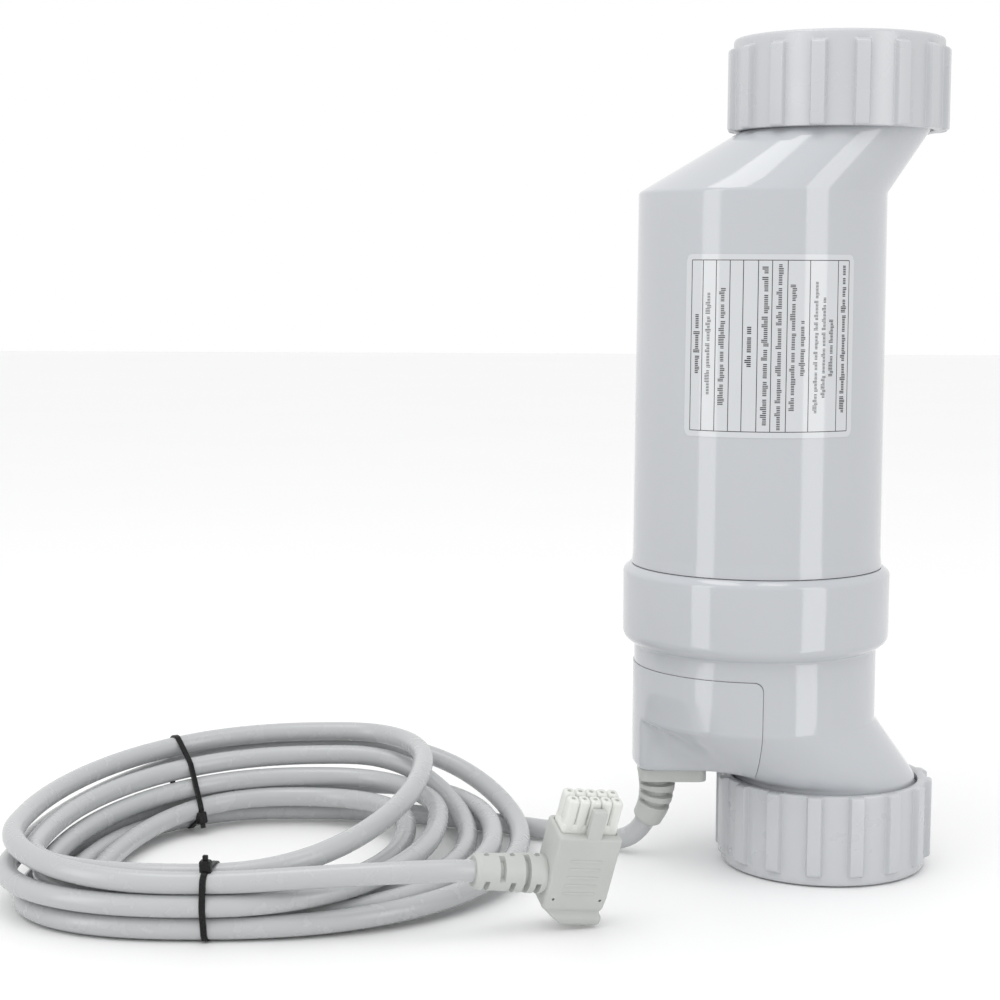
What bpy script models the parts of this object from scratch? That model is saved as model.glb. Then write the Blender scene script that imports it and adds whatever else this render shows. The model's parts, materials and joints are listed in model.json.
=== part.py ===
"""Salt chlorine generator: a flow-through electrolytic cell with its cable and plug.

Metres, +Z up along the water's path. The cell stands on its lower union nut. The label faces -Y, and
both ports share one axis that is offset towards +X from the axis of the body cylinder.
"""
import math

import bmesh
import bpy
from mathutils import Matrix, Vector

# ---- driving dimensions: frame -------------------------------------------------------------------
BODY_X = -0.01175           # axis of the body cylinder
PORT_X = 0.02225            # common axis of the two ports
HEIGHT = 0.385              # nut face to nut face
CLEAR = 0.0003              # gap kept between touching pieces
SEGMENTS = 32

# ---- driving dimensions: shells ------------------------------------------------------------------
BODY_R_TOP = 0.0570         # upper body at its upper crease
BODY_R_LOW = 0.0578         # upper body just above the collar
BODY_BORE_R = 0.0515
CREASE_TOP = 0.3150         # where the upper cylinder becomes the skewed cone
COLLAR_TOP = 0.1425
COLLAR_R = 0.0622
SPIGOT_R = 0.0557
SPIGOT_END = 0.1150
LOWER_R = 0.0567
LOWER_CREASE = 0.0710       # where the lower cylinder becomes the skewed cone
NECK_Z = 0.0430             # where the lower cone becomes the neck
NECK_END = 0.0130
NECK_R = 0.0425
NECK_BORE_R = 0.0375
INNER_CONE_LOW = 0.0450
INNER_CONE_HIGH = 0.0765
GROOVE_R = (0.0383, 0.0417)
GROOVE_DEPTH = 0.0026

# ---- driving dimensions: terminal cover ----------------------------------------------------------
COVER_X = BODY_X - 0.0025   # plane where the cover's two edges end
COVER_TOP = 0.0960
COVER_BOTTOM = 0.0465
COVER_FLOOR = 0.0020
COVER_WALL = 0.0020
COVER_R = 0.0572
COVER_BOX_HALF = 0.0200
COVER_CORNER_R = 0.0040
COVER_FOOT_R = 0.0035
COVER_ANGLES = (0, 7, 13, 16.5, 19, 22, 27, 34, 45, 58, 72, 86, 87.6, 88.8, 89.5, 90)

# ---- driving dimensions: unions ------------------------------------------------------------------
NUT_R = 0.0486
NUT_RIB_R = 0.0517
NUT_RIBS = 16
NUT_RIB_ANGLE = 8.2         # width of one rib, degrees
NUT_HEIGHT = 0.0420
NUT_BORE_R = 0.0440
NUT_MOUTH_R = 0.0386
NUT_LIP = 0.0080
LOWER_RIB_PHASE = -95.1     # angle of one rib from +X, degrees
UPPER_RIB_PHASE = -100.4
TAIL_R = 0.0381
TAIL_FLANGE_R = 0.0430
TAIL_SOCKET_R = 0.0302

# ---- driving dimensions: electrodes and terminals ------------------------------------------------
PLATES = 13
PLATE_PITCH = 0.0055
PLATE_SIZE = (0.0010, 0.0620, 0.1900)
PLATE_BOTTOM = 0.1000
LOWER_COMB_Z = (0.1083, 0.1144)
UPPER_COMB_Z = (0.2790, 0.2860)
LOWER_COMB_R = 0.0536
UPPER_COMB_R = 0.0510
TERMINAL_X = BODY_X - 0.0300
TERMINAL_Y = (-0.0120, 0.0, 0.0120)
TERMINAL_PLATES = (0, PLATES // 2, PLATES - 1)
ROD_R = 0.0020
ROD_RUN_Z = 0.0860
ROD_END_Z = 0.0493
BOSS_Z = (0.0565, 0.0660)
PROBE_X = BODY_X - 0.0200

# ---- driving dimensions: label and strain relief -------------------------------------------------
LABEL_ANGLES = (-134.5, -49.0)
LABEL_Z = (0.2052, 0.2874)
RELIEF_X = BODY_X - 0.0453
RELIEF_ROUTE = ((RELIEF_X, 0.0, 0.0430), (RELIEF_X, 0.0, 0.0345),
                (RELIEF_X - 0.0015, 0.0010, 0.0262), (RELIEF_X - 0.0047, 0.0030, 0.0185))

# ---- driving dimensions: cable -------------------------------------------------------------------
CABLE_R = 0.0048
LEAD_IN = ((-0.0620, 0.0032, 0.0179), (-0.0647, 0.0049, 0.0130), (-0.0683, 0.0072, 0.0091),
           (-0.0727, 0.0100, 0.0064), (-0.0792, 0.0141, 0.0050), (-0.0900, 0.0208, 0.0050),
           (-0.1040, 0.0290, 0.0050), (-0.1200, 0.0370, 0.0050))
LEAD_OUT = ((-0.1434, -0.1228, 0.0290), (-0.1528, -0.1259, 0.0299), (-0.1685, -0.1286, 0.0300),
            (-0.1900, -0.1290, 0.0290), (-0.2060, -0.1280, 0.0277))
COIL_MIDDLE = (-0.2350, -0.0240)

# Stations of the coil's outer shape: angle, inner radius, outer radius, height.
COIL_SHAPE = ((0, 0.0540, 0.1190, 0.0460), (30, 0.0590, 0.1310, 0.0470), (60, 0.0720, 0.1300, 0.0490),
              (90, 0.0780, 0.1160, 0.0490), (120, 0.0770, 0.1110, 0.0480), (150, 0.0720, 0.1120, 0.0430),
              (180, 0.0720, 0.1190, 0.0380), (210, 0.0810, 0.1350, 0.0370), (240, 0.0830, 0.1280, 0.0310),
              (270, 0.0740, 0.1100, 0.0320), (300, 0.0670, 0.1080, 0.0390), (330, 0.0560, 0.1130, 0.0440))
COIL_STEP = 10              # degrees between two sections of the coil
COIL_SHOULDER = 0.0100
TIES = (("cable_tie_back", 124.0), ("cable_tie_front", 259.5))
TIE_HALF_ANGLE = 1.2        # half the width of a tie, degrees
TIE_BED_DEPTH = 0.0020
TIE_THICKNESS = 0.0011

# ---- driving dimensions: plug --------------------------------------------------------------------
PLUG_AT = (-0.10445, -0.1035, 0.0060)
PLUG_TURN = (18.5, 6.9, 18.5)   # yaw, roll and tilt, degrees
HOOD_X = (-0.0139, 0.0144)
HOOD_Y = (-0.0092, 0.0096)
HOOD_TOP = 0.0421
HOOD_FOOT = (-0.0042, 0.0136)   # the flat foot's two ends
HOOD_FOOT_END = -0.0014
HOOD_FOOT_TOP = 0.0064
HOOD_EDGE = 0.0010
HOOD_FLOOR = 0.0200             # bottom of the hood's cavity
INSERT_X = (-0.0119, 0.0126)
INSERT_Y = (-0.0045, 0.0071)
INSERT_SHOULDER = 0.0460
INSERT_TOP = 0.0573
TUBE_COUNT = (5, 2)
TUBE_PITCH = (0.0049, 0.0060)
TUBE_SIZE = (0.0045, 0.0054)
TUBE_BORE_R = 0.0014
CONTACT_R = 0.0011
CONTACT_Z = (0.0310, 0.0560)
TAB_X = (-0.0018, 0.0045)
TAB_Y = (-0.0090, -0.0051)
TAB_TOP = 0.0550
BOOT_AXIS_Z = 0.0186
BOOT_LENGTH = 0.0310
BOOT_RADII = (0.0086, 0.0075)


# ---- helpers -------------------------------------------------------------------------------------
def material(name, colour, roughness, metallic=0.0):
    """A plain Principled material."""
    found = bpy.data.materials.get(name)
    if found:
        return found
    made = bpy.data.materials.new(name)
    made.use_nodes = True
    shader = made.node_tree.nodes["Principled BSDF"]
    shader.inputs["Base Color"].default_value = (*colour, 1.0)
    shader.inputs["Roughness"].default_value = roughness
    shader.inputs["Metallic"].default_value = metallic
    return made


def shell_plastic():
    return material("shell_plastic", (0.56, 0.58, 0.60), 0.25)


def cable_rubber():
    return material("cable_rubber", (0.54, 0.56, 0.57), 0.45)


def boot_rubber():
    return material("boot_rubber", (0.50, 0.52, 0.50), 0.70)


def nylon():
    return material("nylon", (0.60, 0.61, 0.56), 0.40)


def black_nylon():
    return material("black_nylon", (0.01, 0.01, 0.01), 0.30)


def comb_plastic():
    return material("comb_plastic", (0.75, 0.75, 0.74), 0.50)


def coated_titanium():
    return material("coated_titanium", (0.10, 0.10, 0.11), 0.60, 0.8)


def bare_titanium():
    return material("bare_titanium", (0.45, 0.44, 0.43), 0.35, 1.0)


def tinned_brass():
    return material("tinned_brass", (0.60, 0.58, 0.52), 0.30, 1.0)


def seal_rubber():
    return material("seal_rubber", (0.02, 0.02, 0.02), 0.60)


def label_film():
    return material("label_film", (0.62, 0.64, 0.66), 0.20)


def wire_insulation():
    return material("wire_insulation", (0.35, 0.02, 0.02), 0.45)


def finish(mesh, name, surface, parent=None):
    """Wrap a bmesh into an object, with its faces outward and its round faces smooth."""
    bmesh.ops.recalc_face_normals(mesh, faces=mesh.faces)
    data = bpy.data.meshes.new(name)
    mesh.to_mesh(data)
    mesh.free()
    data.shade_smooth()
    data.set_sharp_from_angle(angle=math.radians(35))
    made = bpy.data.objects.new(name, data)
    bpy.context.scene.collection.objects.link(made)
    made.parent = parent
    if surface:
        data.materials.append(surface)
    return made


def cutter(made):
    """Mark an object as a tool for a Boolean, not a piece."""
    made.hide_render = True
    made.display_type = "WIRE"
    return made


def boolean(target, tool, operation):
    """Add an exact Boolean with a tool object."""
    step = target.modifiers.new(operation.lower(), "BOOLEAN")
    step.operation = operation
    step.solver = "EXACT"
    step.object = cutter(tool)


def lofted(name, rows, surface, closed_rows=True, parent=None):
    """A solid from rows of points with equal counts.

    Each row is a closed loop. The rows themselves also close into a ring when closed_rows is set, and
    otherwise the first and the last row get a cap.
    """
    mesh = bmesh.new()
    grid = [[mesh.verts.new(point) for point in row] for row in rows]
    count = len(rows[0])
    last = len(rows) if closed_rows else len(rows) - 1
    for index in range(last):
        near = grid[index]
        far = grid[(index + 1) % len(grid)]
        for step in range(count):
            after = (step + 1) % count
            mesh.faces.new((near[step], near[after], far[after], far[step]))
    if not closed_rows:
        mesh.faces.new(grid[0])
        mesh.faces.new(grid[-1])
    return finish(mesh, name, surface, parent)


def circle(x, z, radius, segments=SEGMENTS):
    """Points of one level circle."""
    angles = [2 * math.pi * step / segments for step in range(segments)]
    return [(x + radius * math.cos(angle), radius * math.sin(angle), z) for angle in angles]


def turned(name, profile, surface, segments=SEGMENTS):
    """A hollow solid from a closed profile of (z, axis x, radius)."""
    rows = [circle(x, z, radius, segments) for z, x, radius in profile]
    return lofted(name, rows, surface)


def prism(name, outline, low, high, surface, parent=None):
    """An outline in X and Y, extruded from z = low to z = high."""
    rows = [[(x, y, level) for x, y in outline] for level in (low, high)]
    return lofted(name, rows, surface, closed_rows=False, parent=parent)


def box(name, low, high, surface, parent=None):
    """A box between two corners."""
    outline = ((low[0], low[1]), (high[0], low[1]), (high[0], high[1]), (low[0], high[1]))
    return prism(name, outline, low[2], high[2], surface, parent)


def cylinder(name, x, y, low, high, radius, surface, segments=16, parent=None):
    """An upright cylinder."""
    outline = [(px + x, py + y) for px, py, _ in circle(0.0, 0.0, radius, segments)]
    return prism(name, outline, low, high, surface, parent)


def torus(name, centre, ring_r, wire_r, surface, segments=24, sides=6):
    """A level O-ring."""
    x, y, z = centre
    rows = []
    for side in range(sides):
        angle = 2 * math.pi * side / sides
        radius = ring_r + wire_r * math.cos(angle)
        level = z + wire_r * math.sin(angle)
        rows.append([(px + x, py + y, level) for px, py, _ in circle(0.0, 0.0, radius, segments)])
    return lofted(name, rows, surface)


def smooth_points(route, spacing):
    """Evenly spaced points on a smooth curve through the route's own points."""
    ends = [Vector(route[0]) * 2 - Vector(route[1])]
    ends += [Vector(point) for point in route]
    ends.append(Vector(route[-1]) * 2 - Vector(route[-2]))
    fine = []
    for index in range(1, len(ends) - 2):
        before, start, stop, after = ends[index - 1:index + 3]
        for step in range(16):
            t = step / 16
            fine.append(0.5 * (2 * start + (stop - before) * t
                               + (2 * before - 5 * start + 4 * stop - after) * t * t
                               + (3 * start - before - 3 * stop + after) * t ** 3))
    fine.append(ends[-2])
    lengths = [0.0]
    for near, far in zip(fine, fine[1:]):
        lengths.append(lengths[-1] + (far - near).length)
    count = max(2, round(lengths[-1] / spacing))
    points = []
    place = 0
    for step in range(count + 1):
        wanted = lengths[-1] * step / count
        while place < len(fine) - 2 and lengths[place + 1] < wanted:
            place += 1
        share = (wanted - lengths[place]) / (lengths[place + 1] - lengths[place])
        points.append(fine[place].lerp(fine[place + 1], share))
    return points


def tube(name, points, radius, surface, resolution=2):
    """A round tube along points, with filled ends."""
    data = bpy.data.curves.new(name, "CURVE")
    data.dimensions = "3D"
    data.bevel_depth = radius
    data.bevel_resolution = resolution
    data.use_fill_caps = True
    spline = data.splines.new("POLY")
    spline.points.add(len(points) - 1)
    for slot, point in zip(spline.points, points):
        slot.co = (*point, 1.0)
    data.materials.append(surface)
    made = bpy.data.objects.new(name, data)
    bpy.context.scene.collection.objects.link(made)
    return made


# ---- the skewed shells ---------------------------------------------------------------------------
def outer_circle(z):
    """Axis x and radius of the lower housing's outer skin at height z, from neck to cylinder."""
    share = min(max((z - NECK_Z) / (LOWER_CREASE - NECK_Z), 0.0), 1.0)
    return PORT_X + (BODY_X - PORT_X) * share, NECK_R + (LOWER_R - NECK_R) * share


def seal_groove(end, inward):
    """Profile of the neck's end face with its O-ring groove, from the outside to the bore."""
    deep = end + GROOVE_DEPTH * inward
    return [(end, PORT_X, NECK_R), (end, PORT_X, GROOVE_R[1]), (deep, PORT_X, GROOVE_R[1]),
            (deep, PORT_X, GROOVE_R[0]), (end, PORT_X, GROOVE_R[0]), (end, PORT_X, NECK_BORE_R)]


def cell_body():
    """The long upper shell, from its spigot inside the collar to the upper neck."""
    profile = [(SPIGOT_END, BODY_X, SPIGOT_R), (0.1430, BODY_X, SPIGOT_R), (0.1430, BODY_X, 0.0585),
               (0.1480, BODY_X, BODY_R_LOW), (CREASE_TOP - 0.002, BODY_X, BODY_R_TOP),
               (CREASE_TOP + 0.001, BODY_X + 0.0008, BODY_R_TOP - 0.0008),
               (HEIGHT - NECK_Z, PORT_X, NECK_R)]
    profile += seal_groove(HEIGHT - NECK_END, -1)
    profile += [(0.3400, PORT_X, NECK_BORE_R), (0.3115, BODY_X, BODY_BORE_R),
                (SPIGOT_END, BODY_X, BODY_BORE_R)]
    turned("cell_body", profile, shell_plastic())


def lower_housing():
    """Collar, lower cylinder and skewed cone, with the bed of the terminal cover cut into it."""
    profile = [(NECK_Z, PORT_X, NECK_R), (LOWER_CREASE, BODY_X, LOWER_R), (0.1060, BODY_X, LOWER_R),
               (0.1068, BODY_X, 0.0592), (0.1088, BODY_X, 0.0612), (0.1120, BODY_X, COLLAR_R),
               (0.1395, BODY_X, COLLAR_R), (COLLAR_TOP, BODY_X, 0.0585), (COLLAR_TOP, BODY_X, 0.0560),
               (0.1147, BODY_X, 0.0560), (0.1147, BODY_X, 0.0540), (0.1080, BODY_X, 0.0540),
               (0.1080, BODY_X, BODY_BORE_R), (INNER_CONE_HIGH, BODY_X, BODY_BORE_R),
               (INNER_CONE_LOW, PORT_X, NECK_BORE_R)]
    profile += reversed(seal_groove(NECK_END, 1))
    made = turned("lower_housing", profile, shell_plastic())
    boolean(made, cover_bed(), "DIFFERENCE")
    boss = box("terminal_boss", (TERMINAL_X - 0.0055, -0.0165, BOSS_Z[0]),
               (TERMINAL_X + 0.0055, 0.0165, BOSS_Z[1]), None)
    boolean(made, boss, "UNION")
    for index, y in enumerate(TERMINAL_Y):
        hole = cylinder(f"rod_hole_{index + 1}", TERMINAL_X, y, 0.0540, 0.0700, ROD_R + CLEAR, None, 12)
        boolean(made, hole, "DIFFERENCE")
    hole = cylinder("probe_hole", PROBE_X, 0.0, 0.0470, 0.0640, 0.0028, None, 12)
    boolean(made, hole, "DIFFERENCE")


def ray_to_circle(angle, origin_x, x, radius):
    """Distance from the cover's edge plane to a level circle, along a ray that turns from -X."""
    offset = x - origin_x
    return -offset * math.cos(angle) + math.sqrt(radius ** 2 - (offset * math.sin(angle)) ** 2)


def soft_most(first, second, width):
    """The larger of two values, with a rounded change-over."""
    if width <= 0.0:
        return max(first, second)
    near = max(width - abs(first - second), 0.0) / width
    return max(first, second) + near * near * width / 4


def cover_reach(angle, z, origin_x, inset):
    """Distance to the cover's skin: the housing's skin joined with the terminal box."""
    x, radius = outer_circle(z)
    skin = ray_to_circle(angle, origin_x, x, radius + COVER_R - LOWER_R - inset)
    if z >= LOWER_CREASE:
        return skin
    foot = max(COVER_FOOT_R - (z - COVER_BOTTOM), 0.0)
    rounding = COVER_FOOT_R - math.sqrt(COVER_FOOT_R ** 2 - foot ** 2)
    front = ray_to_circle(angle, origin_x, BODY_X, COVER_R - inset - rounding)
    side = (COVER_BOX_HALF - inset - rounding) / max(abs(math.sin(angle)), 0.01)
    corner = -soft_most(-front, -side, 0.004)
    blend = min(0.008, LOWER_CREASE - z)
    return soft_most(skin, corner, blend if inset < 0.001 else 0.0)


def bed_reach(angle, z, origin_x, gap):
    """Distance to the housing's bed behind the cover."""
    x, radius = outer_circle(z - 0.0025)
    return ray_to_circle(angle, origin_x, x, radius - 0.0019 + gap)


def cover_columns():
    """Angles across the cover, from one edge to the other."""
    return [-angle for angle in reversed(COVER_ANGLES[1:])] + list(COVER_ANGLES)


def cover_top(degrees, radius, rise):
    """Height of the cover's top edge, which is rounded at its two upper corners."""
    from_edge = math.radians(90 - abs(degrees)) * radius
    inside = max(COVER_CORNER_R - from_edge, 0.0)
    return COVER_TOP + rise - COVER_CORNER_R + math.sqrt(COVER_CORNER_R ** 2 - inside ** 2)


def cover_loop(degrees, levels, reach, origin_x):
    """Points at one angle, for a list of (height, distance function)."""
    angle = math.radians(degrees)
    points = []
    for z in levels:
        distance = reach(angle, z)
        points.append((origin_x - distance * math.cos(angle), distance * math.sin(angle), z))
    return points


def cover_bed():
    """The cutter that recesses the lower housing behind the terminal cover."""
    origin = COVER_X + CLEAR / 2
    rows = []
    for degrees in cover_columns():
        top = cover_top(degrees, COVER_R, CLEAR)
        levels = [COVER_BOTTOM - CLEAR, 0.0500, 0.0550, 0.0620, 0.0680, LOWER_CREASE + 0.0025, top]
        loop = cover_loop(degrees, levels, lambda a, z: bed_reach(a, z, origin, 0.0), origin)
        loop += cover_loop(degrees, [top, COVER_BOTTOM - CLEAR], lambda a, z: 0.0750, origin)
        rows.append(loop)
    return lofted("cover_bed", rows, None, closed_rows=False)


def terminal_cover():
    """The half-round cover whose lower end is the terminal box."""
    origin = COVER_X - CLEAR / 2
    floor_top = COVER_BOTTOM + COVER_FLOOR
    rows = []
    for degrees in cover_columns():
        top = cover_top(degrees, COVER_R, 0.0)
        outer = [COVER_BOTTOM, 0.0475, 0.0500, 0.0550, 0.0610, 0.0665, LOWER_CREASE, 0.0730, top]
        inner = [top, LOWER_CREASE + 0.0025, 0.0665, 0.0610, 0.0550, floor_top]
        loop = cover_loop(degrees, outer, lambda a, z: cover_reach(a, z, origin, 0.0), origin)
        loop += cover_loop(degrees, inner, lambda a, z: cover_inside(a, z, origin), origin)
        foot = [floor_top - 0.0001, COVER_BOTTOM]
        loop += cover_loop(degrees, foot, lambda a, z: bed_reach(a, z, origin, CLEAR), origin)
        rows.append(loop)
    made = lofted("terminal_cover", rows, shell_plastic(), closed_rows=False)
    hole = cylinder("relief_hole", RELIEF_X, 0.0, 0.0400, 0.0500, 0.0063, None)
    boolean(made, hole, "DIFFERENCE")


def cover_inside(angle, z, origin_x):
    """Distance to the cover's inner wall: the bed's skin joined with the terminal compartment."""
    bed = bed_reach(angle, z, origin_x, CLEAR + 0.0001)
    if z >= LOWER_CREASE:
        return bed
    return max(bed, cover_reach(angle, z, origin_x, COVER_WALL))


# ---- unions --------------------------------------------------------------------------------------
def nut_outline(radius, rib_radius, phase):
    """Points round a nut: four for each rib, so that every level has the same count."""
    points = []
    flank = 1.2
    for rib in range(NUT_RIBS):
        middle = phase + 360 / NUT_RIBS * rib
        half = NUT_RIB_ANGLE / 2
        for offset, reach in ((-half - flank, radius), (-half, rib_radius), (half, rib_radius),
                              (half + flank, radius)):
            angle = math.radians(middle + offset)
            points.append((reach * math.cos(angle), reach * math.sin(angle)))
    return points


def union_nut(name, base, up, phase):
    """A ribbed union nut whose smooth end is at z = base and whose mouth faces the cell."""
    levels = [(0.0, NUT_R - 0.0012, NUT_R - 0.0012), (0.0012, NUT_R, NUT_R), (0.0047, NUT_R, NUT_R),
              (0.0054, NUT_R, NUT_RIB_R), (NUT_HEIGHT - 0.0008, NUT_R, NUT_RIB_R),
              (NUT_HEIGHT, NUT_R - 0.0008, NUT_RIB_R - 0.0008), (NUT_HEIGHT, NUT_BORE_R, NUT_BORE_R),
              (NUT_LIP, NUT_BORE_R, NUT_BORE_R), (NUT_LIP, NUT_MOUTH_R, NUT_MOUTH_R),
              (0.0, NUT_MOUTH_R, NUT_MOUTH_R)]
    rows = []
    for level, radius, rib_radius in levels:
        outline = nut_outline(radius, rib_radius, phase)
        rows.append([(PORT_X + x, y, base + up * level) for x, y in outline])
    lofted(name, rows, shell_plastic())


def tailpiece(name, base, up):
    """The socket end that the nut pulls against the neck."""
    levels = [(0.0015, TAIL_R), (NUT_LIP + CLEAR, TAIL_R), (NUT_LIP + CLEAR, TAIL_FLANGE_R),
              (NECK_END - CLEAR, TAIL_FLANGE_R), (NECK_END - CLEAR, TAIL_SOCKET_R),
              (0.0015, TAIL_SOCKET_R)]
    turned(name, [(base + up * level, PORT_X, radius) for level, radius in levels], shell_plastic())


def unions():
    """Both nuts, tailpieces and O-rings; the upper ones are the lower ones turned over."""
    seal_z = NECK_END + GROOVE_DEPTH - CLEAR - 0.0012
    for name, base, up, phase in (("lower", 0.0, 1, LOWER_RIB_PHASE), ("upper", HEIGHT, -1, UPPER_RIB_PHASE)):
        union_nut(f"{name}_union_nut", base, up, phase)
        tailpiece(f"{name}_tailpiece", base, up)
        torus(f"{name}_union_oring", (PORT_X, 0.0, base + up * seal_z), sum(GROOVE_R) / 2, 0.0012,
              seal_rubber())


# ---- electrodes and terminals --------------------------------------------------------------------
def plate_x(index):
    """Middle of one electrode plate."""
    return BODY_X + (index - (PLATES - 1) / 2) * PLATE_PITCH


def electrode_plates():
    """Flat coated plates, side by side across the body."""
    thick, wide, tall = PLATE_SIZE
    for index in range(PLATES):
        x = plate_x(index)
        box(f"electrode_plate_{index + 1:02d}", (x - thick / 2, -wide / 2, PLATE_BOTTOM),
            (x + thick / 2, wide / 2, PLATE_BOTTOM + tall), coated_titanium())


def plate_comb(name, radius, levels):
    """A ring whose window has one notch on each side for every plate."""
    window_half = PLATE_SIZE[1] / 2 - 0.0040
    notch_half = PLATE_SIZE[1] / 2 + CLEAR
    slot = PLATE_SIZE[0] / 2 + CLEAR
    end_x = plate_x(PLATES - 1) + 0.0030
    edge = []
    for index in range(PLATES):
        x = plate_x(index)
        edge += [(x - slot, window_half), (x - slot, notch_half), (x + slot, notch_half),
                 (x + slot, window_half)]
    far = [(end_x, window_half)]
    near = [(2 * BODY_X - end_x, window_half)]
    upper = near + edge + far
    window = upper + [(x, -y) for x, y in reversed(upper)]
    outline = [(x, y) for x, y, _ in circle(BODY_X, 0.0, radius)]
    made = prism(name, outline, levels[0], levels[1], comb_plastic())
    tool = prism(f"{name}_window", window, levels[0] - 0.001, levels[1] + 0.001, None)
    boolean(made, tool, "DIFFERENCE")


def terminals():
    """Titanium rods from three plates through the wall, with their seals, terminals and nuts."""
    for index, (plate, y) in enumerate(zip(TERMINAL_PLATES, TERMINAL_Y)):
        number = index + 1
        x = plate_x(plate)
        bend = 0.004 if x > TERMINAL_X else -0.0015
        top = PLATE_BOTTOM - CLEAR
        if abs(x - TERMINAL_X) < 0.008:
            route = [(x, y, top), (x, y, 0.0930), (TERMINAL_X, y, 0.0820), (TERMINAL_X, y, ROD_END_Z)]
        else:
            route = [(x, y, top), (x, y, ROD_RUN_Z + 0.004), (x - bend, y, ROD_RUN_Z),
                     (TERMINAL_X + bend, y, ROD_RUN_Z), (TERMINAL_X, y, ROD_RUN_Z - 0.004),
                     (TERMINAL_X, y, ROD_END_Z)]
        tube(f"terminal_rod_{number}", route, ROD_R, bare_titanium())
        torus(f"terminal_oring_{number}", (TERMINAL_X, y, 0.0552), 0.0034, 0.0010, seal_rubber(), 12, 5)
        ring_terminal(number, y)
        terminal_nut(number, y)


def ring_terminal(number, y):
    """A crimped ring: a flat washer with a tongue towards the cable."""
    rim = [(TERMINAL_X + px, y + py) for px, py, _ in circle(0.0, 0.0, 0.0040, 16)]
    tongue = [(TERMINAL_X - 0.0080, y + 0.0012), (TERMINAL_X - 0.0080, y - 0.0012)]
    outline = rim[:8] + tongue + rim[9:]
    made = prism(f"ring_terminal_{number}", outline, 0.0530, 0.0538, tinned_brass())
    boolean(made, cylinder(f"ring_hole_{number}", TERMINAL_X, y, 0.0520, 0.0550, 0.0023, None, 12),
            "DIFFERENCE")


def terminal_nut(number, y):
    """A hexagon nut below the ring terminal."""
    made = cylinder(f"terminal_nut_{number}", TERMINAL_X, y, 0.0500, 0.0527, 0.0040, bare_titanium(), 6)
    boolean(made, cylinder(f"nut_hole_{number}", TERMINAL_X, y, 0.0490, 0.0540, 0.0023, None, 12),
            "DIFFERENCE")


def temperature_probe():
    """A stepped probe that reaches through the wall into the water."""
    made = cylinder("temperature_probe", PROBE_X, 0.0, 0.0505, 0.0780, 0.0025, bare_titanium(), 12)
    head = cylinder("probe_head", PROBE_X, 0.0, 0.0490, 0.0508, 0.0030, None, 12)
    boolean(made, head, "UNION")


def lead_wires():
    """The cable's cores inside the terminal compartment."""
    start_x = RELIEF_X + 0.0015
    for index, y in enumerate(TERMINAL_Y):
        tip_x = TERMINAL_X - 0.0083
        route = [(start_x - 0.002, y * 0.3, 0.0503), (start_x - 0.002, y * 0.3, 0.0518),
                 (start_x - 0.0005, y * 0.7, 0.0534), (tip_x, y, 0.0534)]
        tube(f"lead_wire_{index + 1}", smooth_points(route, 0.003), 0.0008, wire_insulation(), 1)


def probe_wire():
    """The probe's own core, between two terminals to the probe's head."""
    start_x = RELIEF_X + 0.0035
    lane_y = (TERMINAL_Y[1] + TERMINAL_Y[2]) / 2
    route = [(start_x, 0.0035, 0.0504), (start_x, 0.0035, 0.0510), (start_x + 0.0012, 0.0041, 0.0518),
             (TERMINAL_X - 0.0040, lane_y, 0.0518), (TERMINAL_X + 0.0030, lane_y, 0.0512),
             (PROBE_X - 0.0036, 0.0014, 0.0502)]
    tube("probe_wire", smooth_points(route, 0.0015), 0.0008, wire_insulation(), 1)


# ---- label and strain relief ---------------------------------------------------------------------
def body_radius(z):
    """Radius of the upper body's slight taper."""
    share = (z - 0.1480) / (CREASE_TOP - 0.002 - 0.1480)
    return BODY_R_LOW + (BODY_R_TOP - BODY_R_LOW) * share


def rating_label():
    """A clear film wrapped on the upper body."""
    columns = 24
    rows = []
    for step in range(columns + 1):
        angle = math.radians(LABEL_ANGLES[0] + (LABEL_ANGLES[1] - LABEL_ANGLES[0]) * step / columns)
        loop = []
        for z, lift in ((LABEL_Z[0], 0.0006), (LABEL_Z[1], 0.0006), (LABEL_Z[1], 0.0003),
                        (LABEL_Z[0], 0.0003)):
            radius = body_radius(z) + lift
            loop.append((BODY_X + radius * math.cos(angle), radius * math.sin(angle), z))
        rows.append(loop)
    lofted("rating_label", rows, label_film(), closed_rows=False)


def tapered_boot(name, points, radii, surface, segments=16, parent=None):
    """A boot whose rings stand square on a line of points."""
    rows = []
    side = Vector((0, 1, 0))
    for index, point in enumerate(points):
        before = points[max(index - 1, 0)]
        after = points[min(index + 1, len(points) - 1)]
        along = (after - before).normalized()
        across = along.cross(side).normalized()
        other = across.cross(along).normalized()
        ring = []
        for step in range(segments):
            angle = 2 * math.pi * step / segments
            ring.append(point + radii[index] * (across * math.cos(angle) + other * math.sin(angle)))
        rows.append(ring)
    return lofted(name, rows, surface, closed_rows=False, parent=parent)


def strain_relief():
    """The cell's moulded strain relief: a flange under the terminal box and a ribbed boot."""
    points = smooth_points(RELIEF_ROUTE, 0.0017)
    radii = []
    for index in range(len(points)):
        share = index / (len(points) - 1)
        groove = 0.0011 if index % 4 == 3 and share < 0.95 else 0.0
        radii.append(0.0088 - 0.0021 * share - groove)
    made = tapered_boot("cell_strain_relief", points, radii, boot_rubber())
    flange = box("relief_flange", (BODY_X - 0.0540, -0.0140, 0.0402), (BODY_X - 0.0230, 0.0140, 0.0462), None)
    boolean(made, flange, "UNION")
    stub = cylinder("relief_stub", RELIEF_X, 0.0, 0.0440, 0.0500, 0.0060, None)
    boolean(made, stub, "UNION")


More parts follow.
